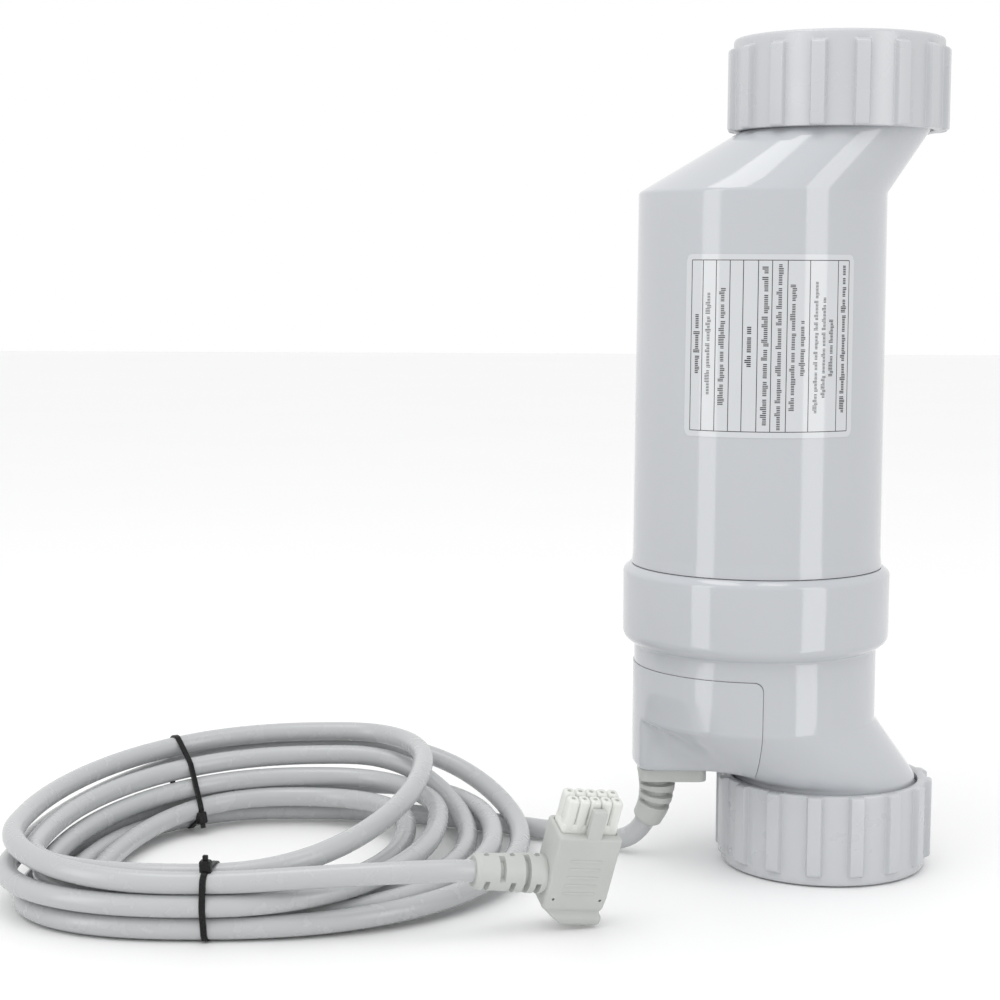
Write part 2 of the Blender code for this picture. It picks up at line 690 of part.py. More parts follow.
# ---- cable ---------------------------------------------------------------------------------------
def coil_section(degrees):
    """Inner radius, outer radius and height of the coil's outer shape at an angle."""
    step = 360 / len(COIL_SHAPE)
    index = int(degrees // step) % len(COIL_SHAPE)
    share = (degrees % step) / step
    share = share * share * (3 - 2 * share)
    near = COIL_SHAPE[index]
    far = COIL_SHAPE[(index + 1) % len(COIL_SHAPE)]
    return [near[item] + (far[item] - near[item]) * share for item in (1, 2, 3)]


def coil_loop(degrees, inset):
    """Points round the coil's section at an angle, moved inward from its skin."""
    inner, outer, height = coil_section(degrees)
    inner += inset
    outer -= inset
    height -= inset
    angle = math.radians(degrees)
    loop = []
    for radius, z in ((inner, inset), (outer, inset), (outer, height * 0.7), (outer - COIL_SHOULDER, height),
                      (inner + COIL_SHOULDER, height), (inner, height * 0.7)):
        loop.append((COIL_MIDDLE[0] + radius * math.cos(angle), COIL_MIDDLE[1] + radius * math.sin(angle), z))
    return loop


def end_notch(name, route, half):
    """The cutter of a notch whose flat end faces the end of a straight stretch of cable."""
    last = Vector(route[-1])
    along = (last - Vector(route[-2])).normalized()
    along.z = 0.0
    side = Vector((-along.y, along.x, 0.0)) * half
    near = last + along * CLEAR
    far = last - along * 0.0400
    outline = [(near + side).to_2d(), (near - side).to_2d(), (far - side).to_2d(), (far + side).to_2d()]
    return prism(name, outline, last.z - half, last.z + 0.0400, None)


def cable_coil():
    """The outer shape of the tied coil, with notches for its two ends and beds for its two ties."""
    bed_half = TIE_HALF_ANGLE + 0.3
    sections = [(step * COIL_STEP, 0.0) for step in range(360 // COIL_STEP)]
    for _, degrees in TIES:
        sections = [item for item in sections if abs(item[0] - degrees) > bed_half + 1]
        sections += [(degrees - bed_half, 0.0), (degrees - bed_half, TIE_BED_DEPTH),
                     (degrees + bed_half, TIE_BED_DEPTH), (degrees + bed_half, 0.0)]
    order = sorted(range(len(sections)), key=lambda index: (sections[index][0], index))
    made = lofted("cable_coil", [coil_loop(*sections[index]) for index in order], cable_rubber())
    boolean(made, end_notch("lead_in_notch", LEAD_IN, 0.0060), "DIFFERENCE")
    boolean(made, end_notch("lead_out_notch", LEAD_OUT, 0.0060), "DIFFERENCE")


def cable_ends():
    """The two stretches of cable that aren't coiled."""
    tube("cable_lead_in", smooth_points(LEAD_IN, 0.0040), CABLE_R, cable_rubber(), 3)
    tube("cable_lead_out", smooth_points(LEAD_OUT, 0.0060), CABLE_R, cable_rubber(), 3)


def cable_ties():
    """Two closed bands, each in its own bed in the coil."""
    under = TIE_BED_DEPTH - CLEAR
    for name, degrees in TIES:
        first = degrees - TIE_HALF_ANGLE
        last = degrees + TIE_HALF_ANGLE
        loops = [coil_loop(first, under), coil_loop(first, under - TIE_THICKNESS),
                 coil_loop(last, under - TIE_THICKNESS), coil_loop(last, under)]
        lofted(name, [list(points) for points in zip(*loops)], black_nylon())


# ---- plug ----------------------------------------------------------------------------------------
def plug_frame():
    """The empty that holds every piece of the plug."""
    frame = bpy.data.objects.new("plug_frame", None)
    bpy.context.scene.collection.objects.link(frame)
    yaw, roll, tilt = (math.radians(angle) for angle in PLUG_TURN)
    turn = Matrix.Rotation(yaw, 4, "Z") @ Matrix.Rotation(roll, 4, "Y") @ Matrix.Rotation(tilt, 4, "X")
    frame.matrix_world = Matrix.Translation(PLUG_AT) @ turn
    return frame


def plug_hood(frame):
    """The moulded hood, with its cavity and the tab that stands on its front wall."""
    front, back = HOOD_Y
    rows = []
    for y, trim in ((front, HOOD_EDGE), (front + HOOD_EDGE, 0.0), (back - HOOD_EDGE, 0.0),
                    (back, HOOD_EDGE)):
        left = HOOD_X[0] + trim
        right = HOOD_X[1] - trim
        rows.append([(HOOD_FOOT[0], y, HOOD_FOOT_END), (HOOD_FOOT[1] - trim, y, HOOD_FOOT_END),
                     (right, y, HOOD_FOOT_TOP), (right, y, HOOD_TOP), (left, y, HOOD_TOP),
                     (left, y, HOOD_FOOT_TOP)])
    made = lofted("plug_hood", rows, boot_rubber(), closed_rows=False, parent=frame)
    cavity = box("hood_cavity", (INSERT_X[0] - CLEAR, INSERT_Y[0] - CLEAR, HOOD_FLOOR),
                 (INSERT_X[1] + CLEAR, INSERT_Y[1] + CLEAR, HOOD_TOP + 0.0020), None, frame)
    boolean(made, cavity, "DIFFERENCE")
    tab = box("hood_tab", (TAB_X[0], TAB_Y[0], HOOD_TOP - 0.0040), (TAB_X[1], TAB_Y[1], TAB_TOP), None,
              frame)
    boolean(made, tab, "UNION")


def tube_places():
    """Middles of the insert's tubes, row by row."""
    middle_x = sum(INSERT_X) / 2
    middle_y = sum(INSERT_Y) / 2
    places = []
    for row in range(TUBE_COUNT[1]):
        y = middle_y + (row - (TUBE_COUNT[1] - 1) / 2) * TUBE_PITCH[1]
        for column in range(TUBE_COUNT[0]):
            places.append((middle_x + (column - (TUBE_COUNT[0] - 1) / 2) * TUBE_PITCH[0], y))
    return places


def plug_insert(frame):
    """The nylon block in the hood, with two rows of bored tubes."""
    made = box("plug_insert", (INSERT_X[0], INSERT_Y[0], HOOD_FLOOR + CLEAR),
               (INSERT_X[1], INSERT_Y[1], INSERT_SHOULDER), nylon(), frame)
    half_x = TUBE_SIZE[0] / 2
    half_y = TUBE_SIZE[1] / 2
    cut = 0.0010
    corners = ((half_x, half_y - cut), (half_x - cut, half_y), (cut - half_x, half_y),
               (-half_x, half_y - cut), (-half_x, cut - half_y), (cut - half_x, -half_y),
               (half_x - cut, -half_y), (half_x, cut - half_y))
    for index, (x, y) in enumerate(tube_places()):
        outline = [(x + dx, y + dy) for dx, dy in corners]
        body = prism(f"insert_tube_{index}", outline, INSERT_SHOULDER - 0.0020, INSERT_TOP, None, frame)
        boolean(made, body, "UNION")
        bore = cylinder(f"insert_bore_{index}", x, y, CONTACT_Z[0] - CLEAR, INSERT_TOP + 0.0010, TUBE_BORE_R,
                        None, 12, frame)
        boolean(made, bore, "DIFFERENCE")


def plug_contacts(frame):
    """One crimped contact for each of the cable's cores, in the tubes of one row."""
    for index, (x, y) in enumerate(tube_places()[:TUBE_COUNT[0]]):
        cylinder(f"plug_contact_{index + 1}", x, y, CONTACT_Z[0], CONTACT_Z[1], CONTACT_R, tinned_brass(), 8,
                 frame)


def plug_boot(frame):
    """The ribbed boot on the side of the hood, where the cable comes out."""
    start = Vector((HOOD_X[0] - CLEAR, 0.0, BOOT_AXIS_Z))
    count = 15
    points = [start + Vector((-BOOT_LENGTH * step / count, 0.0, 0.0)) for step in range(count + 1)]
    radii = []
    for step in range(count + 1):
        groove = 0.0011 if step % 4 == 3 else 0.0
        radii.append(BOOT_RADII[0] + (BOOT_RADII[1] - BOOT_RADII[0]) * step / count - groove)
    tapered_boot("plug_boot", points, radii, boot_rubber(), parent=frame)


def plug():
    """Every piece of the plug, in the plug's own frame."""
    frame = plug_frame()
    plug_hood(frame)
    plug_insert(frame)
    plug_contacts(frame)
    plug_boot(frame)


def build():
    for made in list(bpy.data.objects):
        bpy.data.objects.remove(made)
    cell_body()
    lower_housing()
    terminal_cover()
    unions()
    electrode_plates()
    plate_comb("lower_plate_comb", LOWER_COMB_R, LOWER_COMB_Z)
    plate_comb("upper_plate_comb", UPPER_COMB_R, UPPER_COMB_Z)
    terminals()
    temperature_probe()
    lead_wires()
    probe_wire()
    rating_label()
    strain_relief()
    cable_ends()
    cable_coil()
    cable_ties()
    plug()


build()
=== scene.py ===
"""Salt chlorine generator: the visual model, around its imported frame.

Metres, +Z up. The cell stands on its lower union nut and its label faces -Y. The cable lies coiled on
the -X side, with its plug. The shapes follow the same formulas and driving sizes as the CAD model, with
finer sections, edges, threads and surface detail.
"""
import json
import math
import random

import bmesh
import bpy
from mathutils import Matrix, Vector


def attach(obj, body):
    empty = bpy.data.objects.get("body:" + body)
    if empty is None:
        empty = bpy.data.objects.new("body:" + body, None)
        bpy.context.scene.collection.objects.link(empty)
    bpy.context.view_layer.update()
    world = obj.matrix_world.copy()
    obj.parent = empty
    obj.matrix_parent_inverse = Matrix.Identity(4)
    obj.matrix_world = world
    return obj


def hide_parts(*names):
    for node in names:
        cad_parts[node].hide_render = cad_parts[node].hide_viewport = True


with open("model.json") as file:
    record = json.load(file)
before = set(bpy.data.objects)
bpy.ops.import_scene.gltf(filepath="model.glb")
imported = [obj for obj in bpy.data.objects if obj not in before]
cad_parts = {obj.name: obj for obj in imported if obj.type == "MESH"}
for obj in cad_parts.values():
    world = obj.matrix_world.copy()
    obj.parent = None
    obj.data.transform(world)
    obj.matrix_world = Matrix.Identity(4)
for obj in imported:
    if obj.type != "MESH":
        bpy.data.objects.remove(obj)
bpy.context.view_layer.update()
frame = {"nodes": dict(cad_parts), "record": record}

# ---- sizes, most of them shared with the CAD model -----------------------------------------------
BODY_X = -0.01175
PORT_X = 0.02225
HEIGHT = 0.385
BODY_R_TOP = 0.0570
BODY_R_LOW = 0.0578
BODY_BORE_R = 0.0515
CREASE_TOP = 0.3150
COLLAR_TOP = 0.1425
COLLAR_R = 0.0622
SPIGOT_R = 0.0557
SPIGOT_END = 0.1150
LOWER_R = 0.0567
LOWER_CREASE = 0.0710
NECK_Z = 0.0430
UPPER_NECK = 0.0408      # below the top, where the upper cone becomes the neck
NECK_END = 0.0130
NECK_R = 0.0425
NECK_BORE_R = 0.0375
INNER_CONE_LOW = 0.0450
INNER_CONE_HIGH = 0.0765
GROOVE_R = (0.0383, 0.0417)
GROOVE_DEPTH = 0.0026
FLARE_TOP = 0.1480
TURN_SEGMENTS = 160

COVER_X = BODY_X - 0.0025
COVER_TOP = 0.0960
COVER_BOTTOM = 0.0465
COVER_FLOOR = 0.0020
COVER_WALL = 0.0020
COVER_R = 0.0572
COVER_BOX_HALF = 0.0200
COVER_CORNER_R = 0.0040
COVER_FOOT_R = 0.0035
COVER_GAP = 0.00026

# The nuts are a little smaller than in the CAD model, and turned as in the photograph.
NUT_R = 0.0480
NUT_RIB_R = 0.0507
NUT_RIBS = 16
NUT_HEIGHT = 0.0420
NUT_BORE_R = 0.0440
NUT_MOUTH_R = 0.0386
NUT_LIP = 0.0080
LOWER_RIB_PHASE = -103.0
UPPER_RIB_PHASE = -109.1
THREAD_PITCH = 0.0060
THREAD_HEIGHT = 0.0009
TAIL_R = 0.0381
TAIL_FLANGE_R = 0.0430
TAIL_SOCKET_R = 0.0302
TAIL_END = 0.0015

TERMINAL_X = BODY_X - 0.0300
TERMINAL_Y = (-0.0120, 0.0, 0.0120)
PROBE_X = BODY_X - 0.0200
BOSS_Z = (0.0565, 0.0660)
ROD_HOLE_R = 0.0023
PROBE_HOLE_R = 0.0028
RELIEF_HOLE_R = 0.0063

LABEL_ANGLES = (-131.8, -51.6)    # from +X, degrees
LABEL_Z = (0.2060, 0.2866)
RELIEF_X = BODY_X - 0.0453
RELIEF_ROUTE = ((RELIEF_X, 0.0, 0.0430), (RELIEF_X, 0.0, 0.0345),
                (RELIEF_X - 0.0015, 0.0010, 0.0262), (RELIEF_X - 0.0047, 0.0030, 0.0185))

CABLE_R = 0.0048
LEAD_IN = ((-0.0620, 0.0032, 0.0179), (-0.0647, 0.0049, 0.0130), (-0.0683, 0.0072, 0.0091),
           (-0.0727, 0.0100, 0.0064), (-0.0792, 0.0141, 0.0050), (-0.0900, 0.0208, 0.0050),
           (-0.1040, 0.0290, 0.0050), (-0.1200, 0.0370, 0.0050))
LEAD_OUT = ((-0.1434, -0.1228, 0.0290), (-0.1528, -0.1259, 0.0299), (-0.1685, -0.1286, 0.0300),
            (-0.1900, -0.1290, 0.0290), (-0.2060, -0.1280, 0.0277))

PLUG_AT = (-0.10445, -0.1035, 0.0060)
PLUG_TURN = (18.5, 6.9, 18.5)   # yaw, roll and tilt, degrees
HOOD_X = (-0.0139, 0.0144)
HOOD_Y = (-0.0092, 0.0096)
HOOD_TOP = 0.0421
INSERT_X = (-0.0119, 0.0126)
INSERT_Y = (-0.0045, 0.0071)
INSERT_SHOULDER = 0.0460
INSERT_TOP = 0.0573
INSERT_BASE = 0.0203
TUBE_PITCH = (0.0049, 0.0060)
TUBE_HALF = (0.00242, 0.00282)
TUBE_BORE_R = 0.0009
TAB_X = (-0.0018, 0.0045)
TAB_Y = (-0.0090, -0.0051)
TAB_TOP = 0.0550
BOOT_AXIS_Z = 0.0186
BOOT_LENGTH = 0.0310
BOOT_RADII = (0.0086, 0.0075)

# ---- the camera, where the photograph was taken from ---------------------------------------------
CAMERA_AT = (-0.13235, -0.9800, 0.2800)
CAMERA_PITCH = 6.3      # degrees below the horizon
CAMERA_ROLL = 0.25
CAMERA_LENS = 75.6


def add_camera():
    data = bpy.data.cameras.new("camera")
    data.lens = CAMERA_LENS
    data.sensor_width = 36
    made = bpy.data.objects.new("camera", data)
    bpy.context.scene.collection.objects.link(made)
    made.matrix_world = (Matrix.Translation(CAMERA_AT)
                         @ Matrix.Rotation(math.radians(90 - CAMERA_PITCH), 4, "X")
                         @ Matrix.Rotation(math.radians(CAMERA_ROLL), 4, "Z"))
    bpy.context.scene.camera = made


# ---- materials -----------------------------------------------------------------------------------
MATERIALS = {}
NOISE_MIDDLE = (0.3, 0.7)      # where most of a noise texture's values lie


def link(tree, output, socket):
    tree.links.new(output, socket)


def noise(tree, scale, detail):
    """A noise texture in the object's own coordinates."""
    node = tree.nodes.new("ShaderNodeTexNoise")
    node.inputs["Scale"].default_value = scale
    node.inputs["Detail"].default_value = detail
    place = tree.nodes.new("ShaderNodeTexCoord")
    link(tree, place.outputs["Object"], node.inputs["Vector"])
    return node.outputs["Fac"]


def spread(tree, value, low, high):
    """Maps a noise's middle range on another range."""
    node = tree.nodes.new("ShaderNodeMapRange")
    link(tree, value, node.inputs["Value"])
    for name, number in zip(("From Min", "From Max", "To Min", "To Max"), (*NOISE_MIDDLE, low, high)):
        node.inputs[name].default_value = number
    return node.outputs["Result"]


def surface(name, colour, roughness, mottle=0.03, mottle_scale=18.0, grain_scale=900.0, grain=0.02,
            grain_depth=0.0001, rough_spread=0.04, metallic=0.0, specular=0.5, warm=(1.0, 1.0, 1.0)):
    """A moulded or finished surface: broad colour mottle, uneven gloss and a fine grain."""
    made = bpy.data.materials.new(name)
    made.use_nodes = True
    tree = made.node_tree
    shader = tree.nodes["Principled BSDF"]
    broad = noise(tree, mottle_scale, 3.0)
    mix = tree.nodes.new("ShaderNodeMix")
    mix.data_type = "RGBA"
    low = [max(channel * (1 - mottle), 0.0) for channel in colour]
    high = [min(channel * (1 + mottle) * tint, 1.0) for channel, tint in zip(colour, warm)]
    mix.inputs[6].default_value = (*low, 1.0)
    mix.inputs[7].default_value = (*high, 1.0)
    link(tree, spread(tree, broad, 0.0, 1.0), mix.inputs["Factor"])
    link(tree, mix.outputs[2], shader.inputs["Base Color"])
    patches = noise(tree, mottle_scale * 3.7, 4.0)
    link(tree, spread(tree, patches, roughness - rough_spread, roughness + rough_spread),
         shader.inputs["Roughness"])
    bump = tree.nodes.new("ShaderNodeBump")
    bump.inputs["Strength"].default_value = grain
    bump.inputs["Distance"].default_value = grain_depth
    link(tree, noise(tree, grain_scale, 5.0), bump.inputs["Height"])
    link(tree, bump.outputs["Normal"], shader.inputs["Normal"])
    shader.inputs["Metallic"].default_value = metallic
    shader.inputs["Specular IOR Level"].default_value = specular
    MATERIALS[name] = made


def make_materials():
    surface("shell_plastic", (0.505, 0.520, 0.544), 0.09, mottle=0.012, mottle_scale=9.0, grain_scale=160.0,
            grain=0.10, grain_depth=0.00006, rough_spread=0.03)
    surface("nut_plastic", (0.530, 0.542, 0.560), 0.30, mottle=0.015, mottle_scale=14.0, grain_scale=420.0,
            grain=0.16, grain_depth=0.00006, rough_spread=0.05)
    surface("cable_rubber", (0.475, 0.485, 0.492), 0.27, mottle=0.006, mottle_scale=26.0, grain_scale=1400.0,
            grain=0.10, grain_depth=0.00005, rough_spread=0.012)
    surface("boot_rubber", (0.500, 0.514, 0.494), 0.55, mottle=0.025, mottle_scale=60.0, grain_scale=2600.0,
            grain=0.35, grain_depth=0.00010, rough_spread=0.05)
    surface("nylon", (0.720, 0.735, 0.700), 0.34, mottle=0.030, mottle_scale=90.0, grain_scale=1500.0,
            grain=0.15, grain_depth=0.00006)
    surface("black_nylon", (0.006, 0.006, 0.007), 0.28, mottle=0.20, mottle_scale=200.0, grain_scale=1800.0,
            grain=0.15, grain_depth=0.00006, specular=0.22)
    surface("comb_plastic", (0.720, 0.720, 0.700), 0.42, mottle=0.03, mottle_scale=40.0, grain_scale=1200.0,
            grain=0.15)
    surface("coated_titanium", (0.060, 0.058, 0.062), 0.62, mottle=0.25, mottle_scale=70.0,
            grain_scale=5200.0, grain=0.5, grain_depth=0.00015, metallic=0.55, warm=(1.15, 1.02, 0.95))
    surface("bare_titanium", (0.42, 0.41, 0.39), 0.34, mottle=0.08, mottle_scale=240.0, grain_scale=3800.0,
            grain=0.25, metallic=1.0)
    surface("tinned_brass", (0.62, 0.60, 0.54), 0.28, mottle=0.10, mottle_scale=300.0, grain_scale=3000.0,
            grain=0.2, metallic=1.0)
    surface("seal_rubber", (0.020, 0.020, 0.021), 0.52, mottle=0.15, mottle_scale=150.0, grain_scale=2600.0,
            grain=0.3)
    surface("label_film", (0.600, 0.615, 0.632), 0.07, mottle=0.010, mottle_scale=30.0, grain_scale=220.0,
            grain=0.05, grain_depth=0.00004, rough_spread=0.015)
    surface("label_ink", (0.022, 0.022, 0.026), 0.30, mottle=0.30, mottle_scale=700.0, grain_scale=2600.0,
            grain=0.1)
    surface("wire_insulation", (0.36, 0.025, 0.02), 0.42, mottle=0.05, mottle_scale=160.0, grain_scale=1600.0,
            grain=0.15)


# ---- mesh helpers --------------------------------------------------------------------------------
SHARP = math.radians(32)


def finish_mesh(mesh, name, material, sharp=SHARP):
    """Wraps a bmesh into a smooth-shaded object with its faces outward."""
    bmesh.ops.recalc_face_normals(mesh, faces=mesh.faces)
    data = bpy.data.meshes.new(name)
    mesh.to_mesh(data)
    mesh.free()
    data.shade_smooth()
    data.set_sharp_from_angle(angle=sharp)
    made = bpy.data.objects.new(name, data)
    bpy.context.scene.collection.objects.link(made)
    if material:
        data.materials.append(MATERIALS[material])
    return made


def add_loft(mesh, rows, closed_rows=True):
    """Adds a solid from rows of points: a ring of rows, or a run of rows with a cap at both ends."""
    grid = [[mesh.verts.new(point) for point in row] for row in rows]
    count = len(rows[0])
    last = len(rows) if closed_rows else len(rows) - 1
    for index in range(last):
        near = grid[index]
        far = grid[(index + 1) % len(grid)]
        for step in range(count):
            after = (step + 1) % count
            mesh.faces.new((near[step], near[after], far[after], far[step]))
    if not closed_rows:
        mesh.faces.new(grid[0])
        mesh.faces.new(grid[-1])


def lofted(name, rows, material, closed_rows=True, sharp=SHARP):
    mesh = bmesh.new()
    add_loft(mesh, rows, closed_rows)
    return finish_mesh(mesh, name, material, sharp)


def place_rows(rows, matrix):
    return [[matrix @ Vector(point) for point in row] for row in rows]


def circle(x, y, z, radius, segments):
    angles = [2 * math.pi * step / segments for step in range(segments)]
    return [(x + radius * math.cos(angle), y + radius * math.sin(angle), z) for angle in angles]


def softened(profile):
    """A closed profile of (z, x, radius, edge), with each corner rounded over its edge length."""
    steps = 4
    points = []
    count = len(profile)
    for index, (z, x, radius, edge) in enumerate(profile):
        corner = Vector((z, x, radius))
        if edge <= 0.0:
            points.append(tuple(corner))
            continue
        before = Vector(profile[index - 1][:3]) - corner
        after = Vector(profile[(index + 1) % count][:3]) - corner
        start = corner + before.normalized() * min(edge, before.length * 0.49)
        stop = corner + after.normalized() * min(edge, after.length * 0.49)
        for step in range(steps + 1):
            t = step / steps
            points.append(tuple(start * (1 - t) ** 2 + corner * 2 * t * (1 - t) + stop * t * t))
    return points


def bool_cut(target, tool, operation="DIFFERENCE"):
    """Applies an exact Boolean and removes the tool."""
    step = target.modifiers.new("cut", "BOOLEAN")
    step.operation = operation
    step.solver = "EXACT"
    step.object = tool
    apply_modifiers(target)
    bpy.data.objects.remove(tool)


def apply_modifiers(target):
    """Bakes an object's modifiers into its mesh."""
    bpy.context.view_layer.update()
    graph = bpy.context.evaluated_depsgraph_get()
    data = bpy.data.meshes.new_from_object(target.evaluated_get(graph))
    old = target.data
    target.modifiers.clear()
    target.data = data
    bpy.data.meshes.remove(old)
    data.shade_smooth()
    data.set_sharp_from_angle(angle=SHARP)


def bevel_edges(target, width, angle):
    """Breaks every edge that is sharper than an angle in degrees."""
    step = target.modifiers.new("edge", "BEVEL")
    step.width = width
    step.segments = 2
    step.limit_method = "ANGLE"
    step.angle_limit = math.radians(angle)
    apply_modifiers(target)


def rounded_box(x0, x1, y0, y1, radius, z, steps=5):
    """A level rounded rectangle."""
    points = []
    for cx, cy, start in ((x1 - radius, y1 - radius, 0), (x0 + radius, y1 - radius, 90),
                          (x0 + radius, y0 + radius, 180), (x1 - radius, y0 + radius, 270)):
        for step in range(steps + 1):
            angle = math.radians(start + 90 * step / steps)
            points.append((cx + radius * math.cos(angle), cy + radius * math.sin(angle), z))
    return points


def trimmed_box(x_range, y_range, trim, radius, z, steps=5):
    return rounded_box(x_range[0] + trim, x_range[1] - trim, y_range[0] + trim, y_range[1] - trim, radius, z,
                       steps)


def catmull(route):
    """Fine points on a smooth curve through a route."""
    steps = 16
    ends = [Vector(route[0]) * 2 - Vector(route[1])]
    ends += [Vector(point) for point in route]
    ends.append(Vector(route[-1]) * 2 - Vector(route[-2]))
    fine = []
    for index in range(1, len(ends) - 2):
        before, start, stop, after = ends[index - 1:index + 3]
        for step in range(steps):
            t = step / steps
            fine.append(0.5 * (2 * start + (stop - before) * t
                               + (2 * before - 5 * start + 4 * stop - after) * t * t
                               + (3 * start - before - 3 * stop + after) * t ** 3))
    fine.append(ends[-2])
    return fine


def even(points, spacing):
    """The same line with evenly spaced points."""
    lengths = [0.0]
    for near, far in zip(points, points[1:]):
        lengths.append(lengths[-1] + (far - near).length)
    count = max(2, round(lengths[-1] / spacing))
    result = []
    place = 0
    for step in range(count + 1):
        wanted = lengths[-1] * step / count
        while place < len(points) - 2 and lengths[place + 1] < wanted:
            place += 1
        span = max(lengths[place + 1] - lengths[place], 1e-9)
        result.append(points[place].lerp(points[place + 1], (wanted - lengths[place]) / span))
    return result


def relaxed(points, rounds):
    """The same line with its small kinks smoothed, between fixed ends."""
    for _ in range(rounds):
        points = ([points[0]]
                  + [(a + 2 * b + c) / 4 for a, b, c in zip(points, points[1:], points[2:])]
                  + [points[-1]])
    return points


def line_length(points):
    return sum((far - near).length for near, far in zip(points, points[1:]))


# ---- the cable -----------------------------------------------------------------------------------
# Stations of the coil, turn by turn. Each turn runs through the back, left, front and right stations.
SQUARENESS = 2.35
LEFT_X = -0.31475
FRONT = (-0.262, -0.106)        # x of the front stations, and y that they are offset from
BACK_STATIONS = ((-0.235, 0.068, 0.0050), (-0.205, 0.080, 0.0155), (-0.209, 0.089, 0.0345),
                 (-0.222, 0.064, 0.0232), (-0.237, 0.059, 0.0140), (-0.211, 0.071, 0.0330),
                 (-0.213, 0.082, 0.0425))
LEFT_STATIONS = ((0.0110, -0.062, 0.0050), (0.0270, -0.072, 0.0055), (0.0350, -0.068, 0.0170),
                 (0.0195, -0.064, 0.0145), (0.0000, -0.056, 0.0055), (0.0240, -0.062, 0.0240),
                 (0.0330, -0.060, 0.0320))
FRONT_STATIONS = ((0.0100, 0.0050), (0.0205, 0.0050), (0.0225, 0.0150), (0.0125, 0.0154),
                  (-0.0010, 0.0050), (0.0110, 0.0250), (0.0210, 0.0245))
RIGHT_STATIONS = ((-0.135, -0.012, 0.0135), (-0.122, -0.002, 0.0105), (-0.161, -0.003, 0.0200),
                  (-0.176, -0.010, 0.0156), (-0.147, -0.002, 0.0100), (-0.169, 0.014, 0.0420))
QUARTER_STEPS = 24


def quarter(start, stop, along_x):
    """A quarter of a turn: a superellipse arc in plan, with an eased rise."""
    power = 2 / SQUARENESS
    points = []
    for step in range(QUARTER_STEPS):
        angle = step / QUARTER_STEPS * math.pi / 2
        ease = 0.5 - 0.5 * math.cos(2 * angle)
        grow = math.sin(angle) ** power
        fade = math.cos(angle) ** power
        if along_x:
            x = start[0] + (stop[0] - start[0]) * grow
            y = stop[1] + (start[1] - stop[1]) * fade
        else:
            x = stop[0] + (start[0] - stop[0]) * fade
            y = start[1] + (stop[1] - start[1]) * grow
        points.append(Vector((x, y, start[2] + (stop[2] - start[2]) * ease)))
    return points


def coil_points():
    points = []
    for turn, back in enumerate(BACK_STATIONS):
        out, left_y, left_z = LEFT_STATIONS[turn]
        left = (LEFT_X - out, left_y, left_z)
        front = (FRONT[0], FRONT[1] - FRONT_STATIONS[turn][0], FRONT_STATIONS[turn][1])
        points += quarter(back, left, True) + quarter(left, front, False)
        if turn < len(RIGHT_STATIONS):
            right = RIGHT_STATIONS[turn]
            points += quarter(front, right, True) + quarter(right, BACK_STATIONS[turn + 1], False)
    return points


def cable_line():
    """The cable's centreline from inside the strain relief to inside the plug's boot."""
    into_relief = ((-0.0608, 0.0024, 0.0205),)
    to_coil = ((-0.138, 0.0455, 0.0050), (-0.160, 0.0545, 0.0050), (-0.186, 0.0625, 0.0050),
               (-0.212, 0.0670, 0.0050), BACK_STATIONS[0])
    from_coil = ((-0.262, -0.1270, 0.0245), (-0.240, -0.1276, 0.0253), (-0.222, -0.1278, 0.0266))
    into_boot = ((-0.1410, -0.1220, 0.0287),)
    line = catmull(into_relief + LEAD_IN + to_coil)[:-1]
    line += coil_points()
    line += catmull(from_coil + tuple(reversed(LEAD_OUT)) + into_boot)
    return relaxed(even(line, 0.0030), 3)


def cable():
    line = cable_line()
    data = bpy.data.curves.new("cable", "CURVE")
    data.dimensions = "3D"
    data.bevel_depth = CABLE_R
    data.bevel_resolution = 6
    data.use_fill_caps = True
    spline = data.splines.new("POLY")
    spline.points.add(len(line) - 1)
    for slot, point in zip(spline.points, line):
        slot.co = (*point, 1.0)
    spline.use_smooth = True
    data.materials.append(MATERIALS["cable_rubber"])
    made = bpy.data.objects.new("cable", data)
    bpy.context.scene.collection.objects.link(made)
    return made, line


# ---- cable ties ----------------------------------------------------------------------------------
COIL_MIDDLE = Vector((-0.2350, -0.0240, 0.0))
TIE_HALF_WIDTH = 0.00135
TIE_THICKNESS = 0.0010
TIE_CLEAR = 0.0001
TIE_HEAD = (0.0058, 0.0050, 0.0036)     # along the band, across it, and its height


def hull(points):
    """The convex outline of points in a plane, anticlockwise."""
    points = sorted(points)
    halves = []
    for ordered in (points, points[::-1]):
        half = []
        for point in ordered:
            while len(half) > 1 and ((half[-1][0] - half[-2][0]) * (point[1] - half[-2][1])
                                     - (half[-1][1] - half[-2][1]) * (point[0] - half[-2][0])) <= 0:
                half.pop()
            half.append(point)
        halves.append(half[:-1])
    return halves[0] + halves[1]


def crossings(line, degrees):
    """Where the cable crosses an upright half plane from the coil's middle: (distance, height)."""
    angle = math.radians(degrees)
    out = Vector((math.cos(angle), math.sin(angle), 0.0))
    side = Vector((-out.y, out.x, 0.0))
    found = []
    for near, far in zip(line, line[1:]):
        a = (near - COIL_MIDDLE).dot(side)
        b = (far - COIL_MIDDLE).dot(side)
        if (a < 0) != (b < 0) and (near - COIL_MIDDLE).dot(out) > 0:
            point = near.lerp(far, a / (a - b)) - COIL_MIDDLE
            found.append((point.dot(out), point.z))
    return found, out, side


